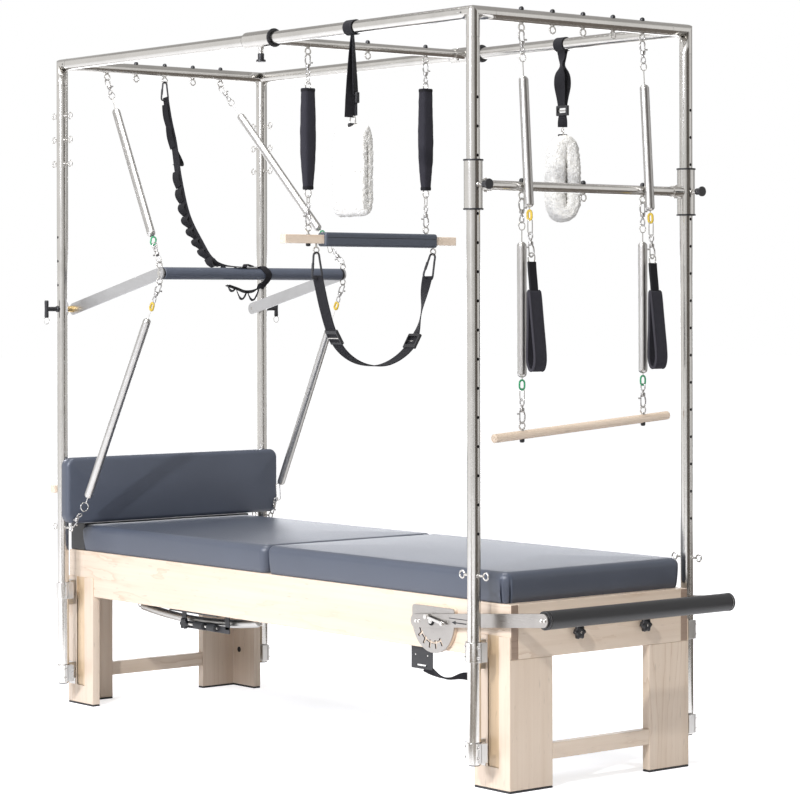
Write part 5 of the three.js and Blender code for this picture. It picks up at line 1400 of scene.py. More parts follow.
class BARS_OT_travelling(bpy.types.Operator):
    """Builds the travelling bar, the covered springs, the roll-down bar and its sling"""

    bl_idname = "trapeze.travelling_bar"
    bl_label = "Travelling bar"

    def execute(self, context):
        parts = sliding_set(TROLLEY_X, BEAM, X, (1,))
        housing, knob = pull_pin(at(TROLLEY_X, -POST_Y, BEAM), -Z)
        dress("trolley_knob", knob, ["travelling_bar_pin"])
        dress("trolley", parts + housing, ["travelling_bar"])
        half = ROLL_PAD_HALF - 0.0015
        for side, shares in (("near", (0.198, 0.797)), ("far", (0.157, 0.779))):
            y = SIDES[side] * 2 * EYE_PITCH
            parts = self.cover(beam_seat(TROLLEY_X, y, BEAM, CROSS_BAR),
                               at(TROLLEY_X, y, SLAT + ROLL_PAD_HALF + EYE_DROP + EYE), shares)
            dress(f"roll_cover_{side}", parts, [f"roll_down_spring_{side}"])
        wood = [board(at(TROLLEY_X - SLAT_HALF, -0.334, SLAT - SLAT_HALF),
                      at(TROLLEY_X + SLAT_HALF, 0.352, SLAT + SLAT_HALF), 0.0018, CROSSWISE)]
        for s in SIDES.values():
            spot = at(TROLLEY_X, s * 2 * EYE_PITCH, SLAT)
            wood += [fitting("slat eye", spot + Z * SLAT_HALF, Z), eye_ring(spot + Z * (half + EYE_DROP), X),
                     fitting("slat nut", spot - Z * SLAT_HALF, -Z)]
        pad = board(at(TROLLEY_X - half, -0.184, SLAT - half), at(TROLLEY_X + half, 0.268, SLAT + half),
                    0.008, "dark blue vinyl", 5)
        seam = board(at(TROLLEY_X + half - 0.0012, -0.176, SLAT + 0.005),
                     at(TROLLEY_X + half + 0.0004, 0.26, SLAT + 0.0065), 0.0003, SHADOW, 1)
        pad = dress("roll_down_padding", [pad, seam], ["roll_down_bar"])
        for y, _ in SLING_ENDS:
            spot = at(TROLLEY_X, y, SLAT)
            wood += [fitting("slat hanger", spot - Z * SLAT_HALF, -Z),
                     eye_ring(spot - Z * (half + EYE_DROP), X)]
        dress("roll_down_slat", wood, ["roll_down_bar"])
        self.sling()
        return {"FINISHED"}

    def cover(self, top, foot, shares):
        """A spring in its black cloth cover, hemmed at both ends, on a D ring."""
        start, end = (top.z - share * (top - foot).length for share in shares)
        parts = hook_pair(top, foot, -Z, Z, (X, X))
        line = smooth_line([(top.x, top.y, start + (end - start) * k / 11) for k in range(12)], 60)
        cover = swept(line, Y, soft_section(0.044, 0.036, 28), "black cover cloth")
        for corner in cover.data.vertices:
            share = min(max((corner.co.z - start) / (end - start), 0), 1) * 11
            k = min(int(share), 10)
            wide = COVER_WIDTHS[k] + (COVER_WIDTHS[k + 1] - COVER_WIDTHS[k]) * (share - k)
            wrinkle = 0.0011 * noise.noise((corner.co.x * 60, corner.co.y * 60, corner.co.z * 45))
            out = Vector((corner.co.x - top.x, corner.co.y - top.y, 0))
            out = out * wide + out.normalized() * wrinkle
            corner.co = Vector((top.x + out.x, top.y + out.y, corner.co.z))
        parts.append(cover)
        for z, wide in ((start - 0.006, 0.9), (end + 0.006, 0.67)):
            hem = smooth_line([(top.x, top.y, z - 0.004), (top.x, top.y, z + 0.004)], 4)
            parts.append(swept(hem, Y, soft_section(0.044 * wide + 0.002, 0.036 * wide + 0.002, 28), WEBBING))
        for z, radius in ((end - 0.011, 0.0115), (start + 0.009, 0.0095)):
            parts.append(ring((top.x, top.y, z), radius, 0.0018, X, STEEL, 0.004, Z))
        upper, lower = top.z - HOOK_LENGTH + 0.008, foot.z + HOOK_LENGTH - 0.008
        for high, low in ((upper, start + 0.016), (end - 0.022, lower)):
            if high - low > 0.012:
                parts.append(ring((top.x, top.y, (high + low) / 2), 0.006, 0.0017, Y, STEEL,
                                  max(high - low - 0.006, 0), Z))
        return parts

    def sling(self):
        """The webbing sling with its carabiners and buckles."""
        hang = SLAT - ROLL_PAD_HALF - EYE_DROP - EYE
        parts = []
        for y, lean in SLING_ENDS:
            place = Matrix.Translation(at(TROLLEY_X, y, hang + 0.005))
            parts.append(moved(carabiner(0.08, 0.038, 0.0034),
                               place @ Matrix.Rotation(math.radians(lean), 4, "X")))
        top = hang - 0.0659
        route = [at(TROLLEY_X, 0.0305 + across * 0.2355, top - drop * (top - SLING_LOW))
                 for across, drop in SLING_ROUTE]
        line = smooth_line(route, 90)
        wide = [X.lerp(SIGHT, math.exp(-((k / 89 - 0.84) / 0.09) ** 2)) for k in range(90)]
        band = swept(line, wide, flat_section(0.05, 0.003), WEBBING)
        for k, along in BUCKLES:
            way = (route[k + 1] - route[k]).normalized()
            parts.append(self.buckle(route[k] + way * along, way))
        strap = dress("sling_webbing", [band], ["sling"])
        fittings = dress("sling_fittings", parts, ["sling"])

    def buckle(self, middle, way):
        """A moulded slide buckle with a bright bar, lying on the webbing."""
        rim = board((-0.029, -0.026, -0.0055), (0.029, 0.026, 0.0055), 0.003, PLASTIC)
        hole = board((-0.023, -0.014, -0.02), (0.023, 0.016, 0.02), 0.002, PLASTIC)
        bar = fitting("sling bar", (-0.026, 0.002, 0.0035), X)
        whole = joined([smooth(carved(rim, hole)), bar])
        return moved(whole, placed(middle, X, way, way.cross(X).normalized()))


# The push-through bar
BAR_X = PUSH_REACH - POST_X
BAR_Z = PIVOT + PUSH_RISE
ARM_EYE = 0.026
PUSH_SHARES = {"near": ((0.169, 0.865), (0.148, 0.945)), "far": ((0.16, 0.815), (0.17, 0.87))}

# The daisy strap's route as (drop, along, across) shares, how its end is wound round the bar, and its
# loops as (first point, last point, size)
DAISY_ROUTE = ((0, 0, 0.01), (0.13, 0.035, 0.015), (0.28, 0.11, 0), (0.49, 0.27, -0.1), (0.71, 0.48, -0.21),
               (0.87, 0.7, -0.28), (0.955, 0.85, -0.33), (0.985, 0.94, -0.31), (0.999, 1, -0.2), (1, 1, 0.06))
DAISY_WIND = ((0.01254, 0.032, 0.018924), (0.0228, 0.045, 0), (0.01596, 0.045, -0.01938),
              (0.004, 0.03, -0.04), (0, 0, -0.056), (0, -0.035, -0.058), (0, -0.07, -0.048),
              (0, -0.105, -0.038))
DAISY_LOOPS = ((3, 12, 0.004), (12, 22, 0.006), (22, 30, -0.032), (34, 42, 0.008), (43, 50, 0.012),
               (51, 57, 0.014), (58, 64, 0.018), (65, 71, 0.021), (72, 78, 0.023), (79, 85, 0.02),
               (86, 92, 0.009), (93, 99, 0.008), (100, 106, 0.008))
WOUND_LOOPS = ((26, 38, 0.028), (39, 50, 0.026), (51, 59, 0.012))


def arm_place(x, y, z, way):
    """Where a flat arm goes whose length runs along a way and whose faces look sideways."""
    return placed(at(x, y, z), way, Y.cross(way), Y)


class BARS_OT_push_through(bpy.types.Operator):
    """Builds the push-through bar, its pivot pins, its springs and the daisy-chain strap"""

    bl_idname = "trapeze.push_through_bar"
    bl_label = "Push-through bar"

    def execute(self, context):
        way = Vector((PUSH_REACH, 0, PUSH_RISE))
        parts = []
        for s in SIDES.values():
            arm = moved(flat_bar(way.length, 0.04, 0.006, 0.0008),
                        arm_place(-POST_X, s * PUSH_Y, PIVOT, way.normalized()))
            parts += [painted(arm, "satin steel"),
                      fitting("pivot bush", at(-POST_X, s * (PUSH_Y + 0.002), PIVOT), s * Y),
                      fitting("arm nut", at(BAR_X, s * (PUSH_Y + 0.0025), BAR_Z), s * Y)]
            middle = at(BAR_X, s * (PUSH_Y + 0.003), BAR_Z)
            for up in (Z, -Z):
                parts += [eye_ring(middle + up * ARM_EYE, X), fitting("arm eye", middle, up)]
            parts.append(fitting("grip end", at(BAR_X, s * (PUSH_Y - 0.0035), BAR_Z), -s * Y))
        dress("push_arms", parts, ["push_through_bar"])
        tip, length = 0.003, 2 * PUSH_Y - 0.019
        rings = [(0, PUSH_GRIP - tip), (tip, PUSH_GRIP), (length - tip, PUSH_GRIP), (length, PUSH_GRIP - tip)]
        grip = turned(at(BAR_X, 0.0095 - PUSH_Y, BAR_Z), Y, rings, 40, 0.0015, VINYL)
        grip = dress("push_grip", [grip], ["push_through_bar"])
        for side, s in SIDES.items():
            tip = at(-POST_X, s * (POST_Y + TUBE + 0.044), PIVOT)
            parts = [fitting("pivot pin", at(-POST_X, s * (PUSH_Y - 0.003), PIVOT), s * Y),
                     fitting("handle neck", at(-POST_X, s * (POST_Y + TUBE + 0.0005), PIVOT), s * Y),
                     fitting("handle bar", tip - Z * 0.029, Z),
                     ring(tip - Z * 0.039, 0.011, 0.0011, X, STEEL)]
            dress(f"push_handle_{side}", parts, [f"push_bar_pin_{side}"])
        for side, s in SIDES.items():
            self.springs(side, s)
        self.daisy()
        return {"FINISHED"}

    def springs(self, side, s):
        """The spring up to the cross beam, and the one down to the post's low eye ring."""
        middle = at(BAR_X, s * (PUSH_Y + 0.003), BAR_Z)
        top, foot = middle + Z * (ARM_EYE + EYE), middle - Z * (ARM_EYE + EYE)
        beam = beam_seat(-POST_X, s * 2 * EYE_PITCH, BEAM, TUBE)
        low_ring = at(-POST_X + TUBE + EYE_STAND_OFF + EYE_DROP, s * POST_Y, LOW_EYE)
        lean = (foot - low_ring) * Vector((1, 0, 1))
        low = low_ring + lean.normalized() * EYE
        knee = low + Vector((0.066, -s * 0.004, 0.056)) if side == "near" else None
        upper_shares, lower_shares = PUSH_SHARES[side]
        upper = hung_spring(beam, top, (X, X), upper_shares, "green tag")
        lower = hung_spring(foot, low, (X, Y), lower_shares, "yellow tag", True, knee)
        for name, parts, still, moving in (("upper", upper, beam, top), ("lower", lower, low, foot)):
            dress(f"push_coil_{name}_{side}", parts, [f"push_{name}_spring_{side}"],
                  ("table", "push_through_bar", still, moving))

    def daisy(self):
        """The daisy-chain strap: a long band with a row of sewn loops along it."""
        last, count = BAR_Z + PUSH_GRIP + 0.0026, 110
        top = BEAM - 0.088
        line = smooth_line([at(-POST_X + along * PUSH_REACH, across * PUSH_Y, top + drop * (last - top))
                            for drop, along, across in DAISY_ROUTE], count)
        right = Vector((0.63, 0.77, 0))
        facing = right * 0.8 + SIGHT * 0.6
        wide = [facing.lerp(X, min(max((k - 84) / 16, 0), 1)).normalized() for k in range(count)]
        band = swept(line, wide, flat_section(0.025, 0.0024), WEBBING)
        hook_seat = beam_seat(-POST_X, 0, BEAM, TUBE)
        parts = [moved(carabiner(0.062, 0.028, 0.003), Matrix.Translation(hook_seat + Z * 0.0055))]
        for first, final, size in DAISY_LOOPS:
            loop = []
            for k in range(first, final + 1):
                tangent = (line[min(k + 1, count - 1)] - line[max(k - 1, 0)]).normalized()
                out = wide[k].cross(tangent).normalized()
                if (out.dot(right) > 0) != (size < 0):
                    out = -out
                rise = abs(size) * math.sin(math.pi * (k - first) / (final - first))
                loop.append(line[k] + out * (0.0028 + rise) - Z * 0.35 * rise - wide[first] * 0.006)
            parts.append(swept(smooth_line(loop, 22), wide[first], flat_section(0.025, 0.0022), WEBBING))
        parts += self.daisy_end(line[-1])
        blend = ("table", "push_through_bar", line[0], line[-1])
        strap = dress("daisy_band", [band], ["daisy_strap"], blend)
        loops = dress("daisy_loops", parts, ["daisy_strap"], blend)

    def daisy_end(self, start):
        """The end of the strap, wound over the bar's front and back below it, with open loops."""
        line = smooth_line([start] + [at(BAR_X + x, y, BAR_Z + z) for x, y, z in DAISY_WIND], 60)
        around, edge_on = Vector((0, 1, 0.1)), Vector((0.77, -0.63, 0.25))
        wide = [around.lerp(edge_on, min(max((k - 20) / 14, 0), 1)) for k in range(60)]
        parts = [swept(line, wide, flat_section(0.025, 0.003), WEBBING)]
        for first, last, size in WOUND_LOOPS:
            loop = [line[k] - Z * size * math.sin(math.pi * (k - first) / (last - first)) ** 0.8
                    for k in range(first, last + 1)]
            parts.append(swept(smooth_line(loop, 24), edge_on, flat_section(0.022, 0.0026), WEBBING))
        return parts


# Hand loops and fleece loops, their outlines as (out, up) from where they hang
HAND_LOOP = ((0.002, -0.08), (0.005, -0.1), (0.008, -0.14), (0.012, -0.19), (0.016, -0.24), (0.016, -0.272),
             (0.009, -0.293), (0, -0.298), (-0.008, -0.293), (-0.014, -0.272), (-0.013, -0.24),
             (-0.009, -0.19), (-0.006, -0.14), (-0.004, -0.1), (-0.002, -0.08))
HAND_NECK = ((0, 0.004), (0.002, -0.02), (0.007, -0.06), (0.01, -0.095))
FLEECE_FOOT = -0.268
NARROW_FLEECE = ((1, -0.06), (1.1, -0.125), (1.1, -0.2), (0.9, -0.235))
OPEN_FLEECE = ((0.58, -0.038), (0.82, -0.08), (0.95, -0.125), (1, -0.165), (0.94, -0.2), (0.62, -0.231))
# For each fleece loop: its turn, half opening, wall, length along the beam, and outline
FLEECE = {"near": (0, 0.009, 0.031, 0.145, NARROW_FLEECE), "far": (-32, 0.0245, 0.051, 0.15, OPEN_FLEECE)}
BUCKLE_Z = 1.945


class LOOPS_OT_hand(bpy.types.Operator):
    """Builds the foot-end springs with their padded hand loops"""

    bl_idname = "trapeze.hand_loops"
    bl_label = "Hand loops"

    def execute(self, context):
        drop = BEAM - TUBE - EYE_DROP - EYE - SLIDER
        lean = math.asin((CROSS_BAR + 0.013 + SEAM) / drop)
        way = Vector((math.sin(lean), 0, -math.cos(lean)))
        for side, s in SIDES.items():
            start = beam_seat(POST_X, s * 2 * EYE_PITCH, BEAM, TUBE)
            spring = hung_spring(start, start + way * 0.63, (X, X), (0.2, 0.787), "yellow tag")
            dress(f"loop_coil_{side}", spring, [f"loop_spring_{side}"])
            metal = [ring(start + way * 0.636, 0.0125, 0.0021, X, STEEL, 0.004, way)]
            top = start + way * 0.65
            line = smooth_line([top + Vector((0.006 - 0.045 * v + u, 0, v)) for u, v in HAND_LOOP], 120, True)
            band = swept(line, Y, soft_section(0.042, 0.0075), "black cover cloth", True)
            for way_out in (Y, -Y):
                edge = [point + way_out * 0.0206 for point in line]
                metal.append(swept(edge, Y, soft_section(0.0036, 0.0088, 8), "edge binding", True))
            neck = smooth_line([top + Vector((u, 0, v)) for u, v in HAND_NECK], 20)
            metal.append(swept(neck, Y, flat_section(0.028, 0.0075), WEBBING))
            loop = dress(f"hand_loop_band_{side}", [band], [f"hand_loop_{side}"])
            dress(f"hand_loop_trim_{side}", metal, [f"hand_loop_{side}"])
        return {"FINISHED"}


class LOOPS_OT_fleece(bpy.types.Operator):
    """Builds the fleece hanging loops with their straps and buckles"""

    bl_idname = "trapeze.fleece_loops"
    bl_label = "Fleece loops"

    def execute(self, context):
        pile = sizes().fleece_pile
        for side, s in SIDES.items():
            turn, half, wall, length, outline = FLEECE[side]
            angle = math.radians(turn)
            opening = Vector((math.cos(angle), math.sin(angle), 0))
            across = Vector((-math.sin(angle), math.cos(angle), 0))
            top = at(0.517, s * POST_Y, 1.868)
            shape = [(0, -wall / 2), *outline, (0, FLEECE_FOOT + wall / 2)]
            shape += [(-u, v) for u, v in reversed(outline)]
            line = smooth_line([top + across * u * half + Z * v for u, v in shape], 200, True)
            band = swept(line, opening, soft_section(length, wall, 96), "white fleece", True)
            normals = [corner.normal.copy() for corner in band.data.vertices]
            for corner, normal in zip(band.data.vertices, normals):
                curl = noise.noise(corner.co * 100) + 0.6 * noise.noise(corner.co * 220)
                broad = noise.noise(corner.co * 22)
                corner.co += normal * (pile * 0.5 * curl + 0.0012 * broad)
            piece = dress(f"fleece_sleeve_{side}", [band], [f"fleece_loop_{side}"])
            parts = self.straps(side, top) + self.buckle(side, top, across)
            parts.append(ring((top.x, top.y, 1.879), 0.0125, 0.0022, across, STEEL, 0.004, Z))
            parts.append(fitting("fleece keeper", Vector((top.x, top.y, 1.866)) - across * 0.014, across))
            dress(f"fleece_hanger_{side}", parts, [f"fleece_loop_{side}"])
        return {"FINISHED"}

    def straps(self, side, top):
        """The strap round the beam and its two falls down to the buckle."""
        radius = TUBE + 0.0022
        wrap = [Vector((top.x, top.y + radius * math.sin(angle), BEAM + radius * math.cos(angle)))
                for angle in (math.pi * 2 * k / 40 for k in range(40))]
        parts = [swept(wrap, X, flat_section(0.04, 0.0026), WEBBING, True)]
        middle = Vector((top.x, top.y, 0))
        for way in (-1, 1):
            if side == "far":
                falls = ((0.006, BEAM - TUBE - 0.002), (0.003, BEAM - 0.045), (0.0125, BEAM - 0.11),
                         (0.01, BEAM - 0.145), (0.003, BUCKLE_Z + 0.012))
                fall = [middle + Y * way * out + Z * z for out, z in falls]
                turn = [0.62 * math.exp(-((k - 9) / 4) ** 2) - 0.7 * math.exp(-((k - 20) / 7) ** 2)
                        for k in range(36)]
                first, second = X, Y
            else:
                foot = 1.889 if way < 0 else BUCKLE_Z + 0.01
                falls = ((0.001, BEAM - TUBE - 0.002), (0.003, BEAM - 0.06), (0.006, foot + 0.06),
                         (0.0085, foot))
                fall = [middle + EYE_RIGHT * way * out + Z * z for out, z in falls]
                turn = [0.15 + (0.95 if way < 0 else 0.25) * min(1, k / 28) for k in range(36)]
                first, second = EYE_LINE, EYE_RIGHT
            wide = [first * math.cos(angle) - second * math.sin(angle) for angle in turn]
            parts.append(swept(smooth_line(fall, 36), wide, flat_section(0.034, 0.0026), WEBBING))
        return parts

    def buckle(self, side, top, across):
        """The slide buckle with the short strap below it, turned with the near fall."""
        x, y = top.x, top.y
        fall = smooth_line([(x, y, BUCKLE_Z - 0.01), (x, y, 1.912), (x, y, 1.894)], 16)
        twist = [X.lerp(across, k / 15).normalized() if side == "far" else X for k in range(16)]
        body = board((x - 0.0245, y - 0.006, BUCKLE_Z - 0.016), (x + 0.0245, y + 0.006, BUCKLE_Z + 0.016),
                     0.0025, PLASTIC)
        hole = board((x - 0.0195, y - 0.02, BUCKLE_Z - 0.007), (x + 0.0195, y + 0.02, BUCKLE_Z + 0.008),
                     0.0015, PLASTIC)
        parts = [swept(fall, twist, flat_section(0.03, 0.0036), WEBBING), smooth(carved(body, hole)),
                 fitting("buckle bar", (x - 0.022, y, BUCKLE_Z), X)]
        if side == "far":
            return parts
        middle = Vector((x, y, 0))
        facing = Matrix.Translation(middle + EYE_RIGHT * 0.0085) @ Matrix.Rotation(math.radians(-24), 4, "Z")
        return [moved(part, facing @ Matrix.Translation(-middle)) for part in parts]


# The foot bar
PLATE_RADIUS = 0.092
PLATE_TOP = 0.04
NOTCH_RADIUS = 0.068
NOTCH_ANGLES = [math.radians(196 + 21 * k) for k in range(6)]
SLOT_RADII = (0.0655, 0.0595)
LATCH = (0.792, 0.461)
# The grip's end rings: how far in they start, how they stand to the grip's radius, and their finish
GRIP_RINGS = ((0.005, 0.0006, PLASTIC), (0.0068, -0.0006, CAST), (0.012, 0.0004, PLASTIC))


def plate_shape(thickness, rounding, finish):
    """The D-shaped plate: a half disc with a straight top drawn up and its corners eased."""
    deselect()
    bpy.ops.mesh.primitive_circle_add(vertices=64, radius=PLATE_RADIUS, fill_type="NGON")
    piece = bpy.context.object
    with editing(piece):
        bpy.ops.mesh.select_all(action="SELECT")
        bpy.ops.mesh.bisect(plane_co=(0, 0, 0), plane_no=(0, 1, 0), clear_outer=True)
        choose(piece, "EDGE", lambda edge: all(abs(v.co.y) < TINY for v in edge.verts))
        bpy.ops.mesh.extrude_edges_move(TRANSFORM_OT_translate={"value": (0, PLATE_TOP, 0)})
        bpy.ops.mesh.select_all(action="SELECT")
        bpy.ops.mesh.dissolve_limited(angle_limit=0.01)
        choose(piece, "VERT", lambda corner: corner.co.y > PLATE_TOP - 0.001)
        bpy.ops.mesh.bevel(offset=0.01, segments=5, affect="VERTICES")
        bpy.ops.mesh.select_all(action="SELECT")
        bpy.ops.mesh.extrude_region_move(TRANSFORM_OT_translate={"value": (0, 0, thickness)})
        bpy.ops.mesh.select_all(action="SELECT")
        bpy.ops.mesh.normals_make_consistent(inside=False)
    rounded(piece, rounding)
    return painted(smooth(piece), finish)


def notched(plate):
    """Cuts a plate's six notches and the curved slot inside them."""
    notches = []
    for angle in NOTCH_ANGLES:
        middle = Vector((math.cos(angle), math.sin(angle), 0)) * NOTCH_RADIUS
        notch = board((-0.012, -0.0035, -0.01), (0.012, 0.0035, 0.02), 0.0006, SHADOW, 1)
        notches.append(moved(notch, Matrix.Translation(middle) @ Matrix.Rotation(angle, 4, "Z")))
    outer, inner = SLOT_RADII
    slot = carved(turned((0, 0, 0), Z, [(-0.01, outer), (0.02, outer)], 64),
                  turned((0, 0, 0), Z, [(-0.02, inner), (0.03, inner)], 64))
    first, last = NOTCH_ANGLES[0], NOTCH_ANGLES[-1]
    with editing(slot):
        for normal in ((math.sin(first), -math.cos(first), 0), (-math.sin(last), math.cos(last), 0)):
            bpy.ops.mesh.select_all(action="SELECT")
            bpy.ops.mesh.bisect(plane_co=(0, 0, 0), plane_no=normal, clear_outer=True, use_fill=True)
    return carved(carved(plate, joined(notches), SHADOW), slot, SHADOW)


class FOOT_OT_bar(bpy.types.Operator):
    """Builds the foot bar, its notched plates and the latch"""

    bl_idname = "trapeze.foot_bar"
    bl_label = "Foot bar"

    def execute(self, context):
        for side, s in SIDES.items():
            parts = []
            for part, depth in ((plate_shape(0.0098, 0.0015, "maple along"), SEAM),
                                (notched(plate_shape(0.004, 0.0006, ROLLED)), 0.0102)):
                place = placed(at(FOOT_PIVOT_X, s * (BED_Y + depth), FOOT_PIVOT_Z), X, Z, s * Y)
                parts.append(smooth(moved(part, place)))
            nut = at(FOOT_PIVOT_X, s * (FOOT_ARM_Y + 0.0065), FOOT_PIVOT_Z)
            # The dark disc under the nut is painted shade of the hole in the arm.
            parts += [fitting("plate stud", nut - s * Y * 0.02, s * Y), fitting("plate hole shade", nut, s * Y),
                      fitting("plate nut", nut, s * Y)]
            dress(f"notch_plate_{side}", parts, [f"foot_bar_plate_{side}"])
        reach = Vector((FOOT_REACH, 0, FOOT_RISE))
        way, length = reach.normalized(), reach.length
        parts = []
        for s in SIDES.values():
            middle = s * (FOOT_ARM_Y + 0.003)
            arm = moved(flat_bar(length, 0.039, 0.006, 0.0008, 0.0725),
                        arm_place(FOOT_PIVOT_X, middle, FOOT_PIVOT_Z, way))
            parts.append(painted(arm, ROLLED))
            for along in (-0.062, length + 0.001):
                spot = at(FOOT_PIVOT_X, s * (FOOT_ARM_Y + 0.006), FOOT_PIVOT_Z) + way * along
                parts += [fitting("arm rivet", spot + way * off, s * Y) for off in (-0.0066, 0.0066)]
        tip_x, tip_z, end_y = FOOT_PIVOT_X + FOOT_REACH, FOOT_PIVOT_Z + FOOT_RISE, FOOT_ARM_Y - 0.0004
        for s in SIDES.values():
            for inward, more, finish in GRIP_RINGS:
                parts.append(rod(at(tip_x, s * (end_y - inward), tip_z), s * Y, FOOT_GRIP + more, 0.0048, 48,
                                 0.0008, finish))
        x, z = LATCH
        parts += [fitting("latch stud", at(x, -(FOOT_ARM_Y + 0.004), z), -Y),
                  board(at(0.885, -(FOOT_ARM_Y + 0.0066), 0.4635), at(0.972, -(FOOT_ARM_Y + 0.0058), 0.4658),
                        0.0002, PLASTIC, 1), self.arrow()]
        dress("foot_arms", parts, ["foot_bar"])
        grip = rod(at(tip_x, 0.008 - end_y, tip_z), Y, FOOT_GRIP, 2 * end_y - 0.016, 48, 0.001, "grip vinyl and gap shade")
        grip = dress("foot_grip", [grip], ["foot_bar"])
        lever = Vector((0.076, 0, -0.014))
        way, y = lever.normalized(), -(FOOT_ARM_Y + 0.0138)
        bar = moved(flat_bar(lever.length, 0.0085, 0.004, 0.0009), arm_place(x, y, z, way))
        parts = [painted(bar, STEEL), fitting("latch hub", at(x, y + 0.002, z), -Y),
                 fitting("latch knob", at(x, y + 0.001, z) + way * 0.074, -Y)]
        dress("latch_lever", parts, ["foot_bar_latch"])
        return {"FINISHED"}

    def arrow(self):
        """A plain direction arrow on the near arm: a bar with a pointed head."""
        middle, half = at(0.937, -(FOOT_ARM_Y + 0.0062), 0.4535), Vector((0.023, 0.0003, 0.0016))
        piece = block(middle - half, middle + half)
        with editing(piece):
            choose(piece, "FACE", lambda face: face.normal.x < -0.9)
            for step, share in ((0.0005, 3.4), (0.016, 0.05)):
                bpy.ops.mesh.extrude_region_move(TRANSFORM_OT_translate={"value": (-step, 0, 0)})
                bpy.ops.transform.resize(value=(1, 1, share))
        return painted(smooth(piece), PLASTIC)


# Knobs and what is kept under the table
KNOB_YS = {"near": -0.101, "far": 0.159}
KNOB_Z = 0.428
# The bracket's ends along X, the plane of its face, and its height, and the same for the strap's plate
BRACKET = (-0.528, -0.268, -0.29, 0.062)
STRAP_PLATE = (0.671, 0.765, -0.322, 0.066)
STRAP_ROUTE = ((0, 0, 0), (0.18, 0.08, -0.5), (0.44, 0.24, -0.35), (0.74, 0.62, 0.3), (1, 1, 1))


def star_knob(radius, thickness):
    """A moulded knob with six lobes along Z, modelled from a disc whose rim is drawn in."""
    deselect()
    bpy.ops.mesh.primitive_cylinder_add(vertices=72, radius=radius, depth=thickness,
                                        location=(0, 0, thickness / 2))
    piece = settle(bpy.context.object)
    for corner in piece.data.vertices:
        dip = 1 - 0.115 * (1 - math.cos(6 * math.atan2(corner.co.y, corner.co.x)))
        corner.co.x *= dip
        corner.co.y *= dip
    with editing(piece):
        choose(piece, "FACE", lambda face: face.normal.z > 0.9)
        bpy.ops.mesh.inset(thickness=radius * 0.28)
        bpy.ops.transform.translate(value=(0, 0, thickness * 0.16))
    rounded(piece, 0.0022, 3, 40)
    return painted(smooth(piece, 50), PLASTIC)


class SMALL_OT_knobs(bpy.types.Operator):
    """Builds the star knobs on the foot end board"""

    bl_idname = "trapeze.star_knobs"
    bl_label = "Star knobs"

    def execute(self, context):
        for side, y in KNOB_YS.items():
            face = at(BED_X + SEAM, y, KNOB_Z)
            parts = [moved(star_knob(0.021, 0.0115), placed(face + X * 0.0102, Y, Z, X)),
                     fitting("knob boss", face, X), fitting("knob screw", face - X * 0.008, X)]
            dress(f"end_knob_{side}", parts, [f"star_knob_{side}"])
        return {"FINISHED"}


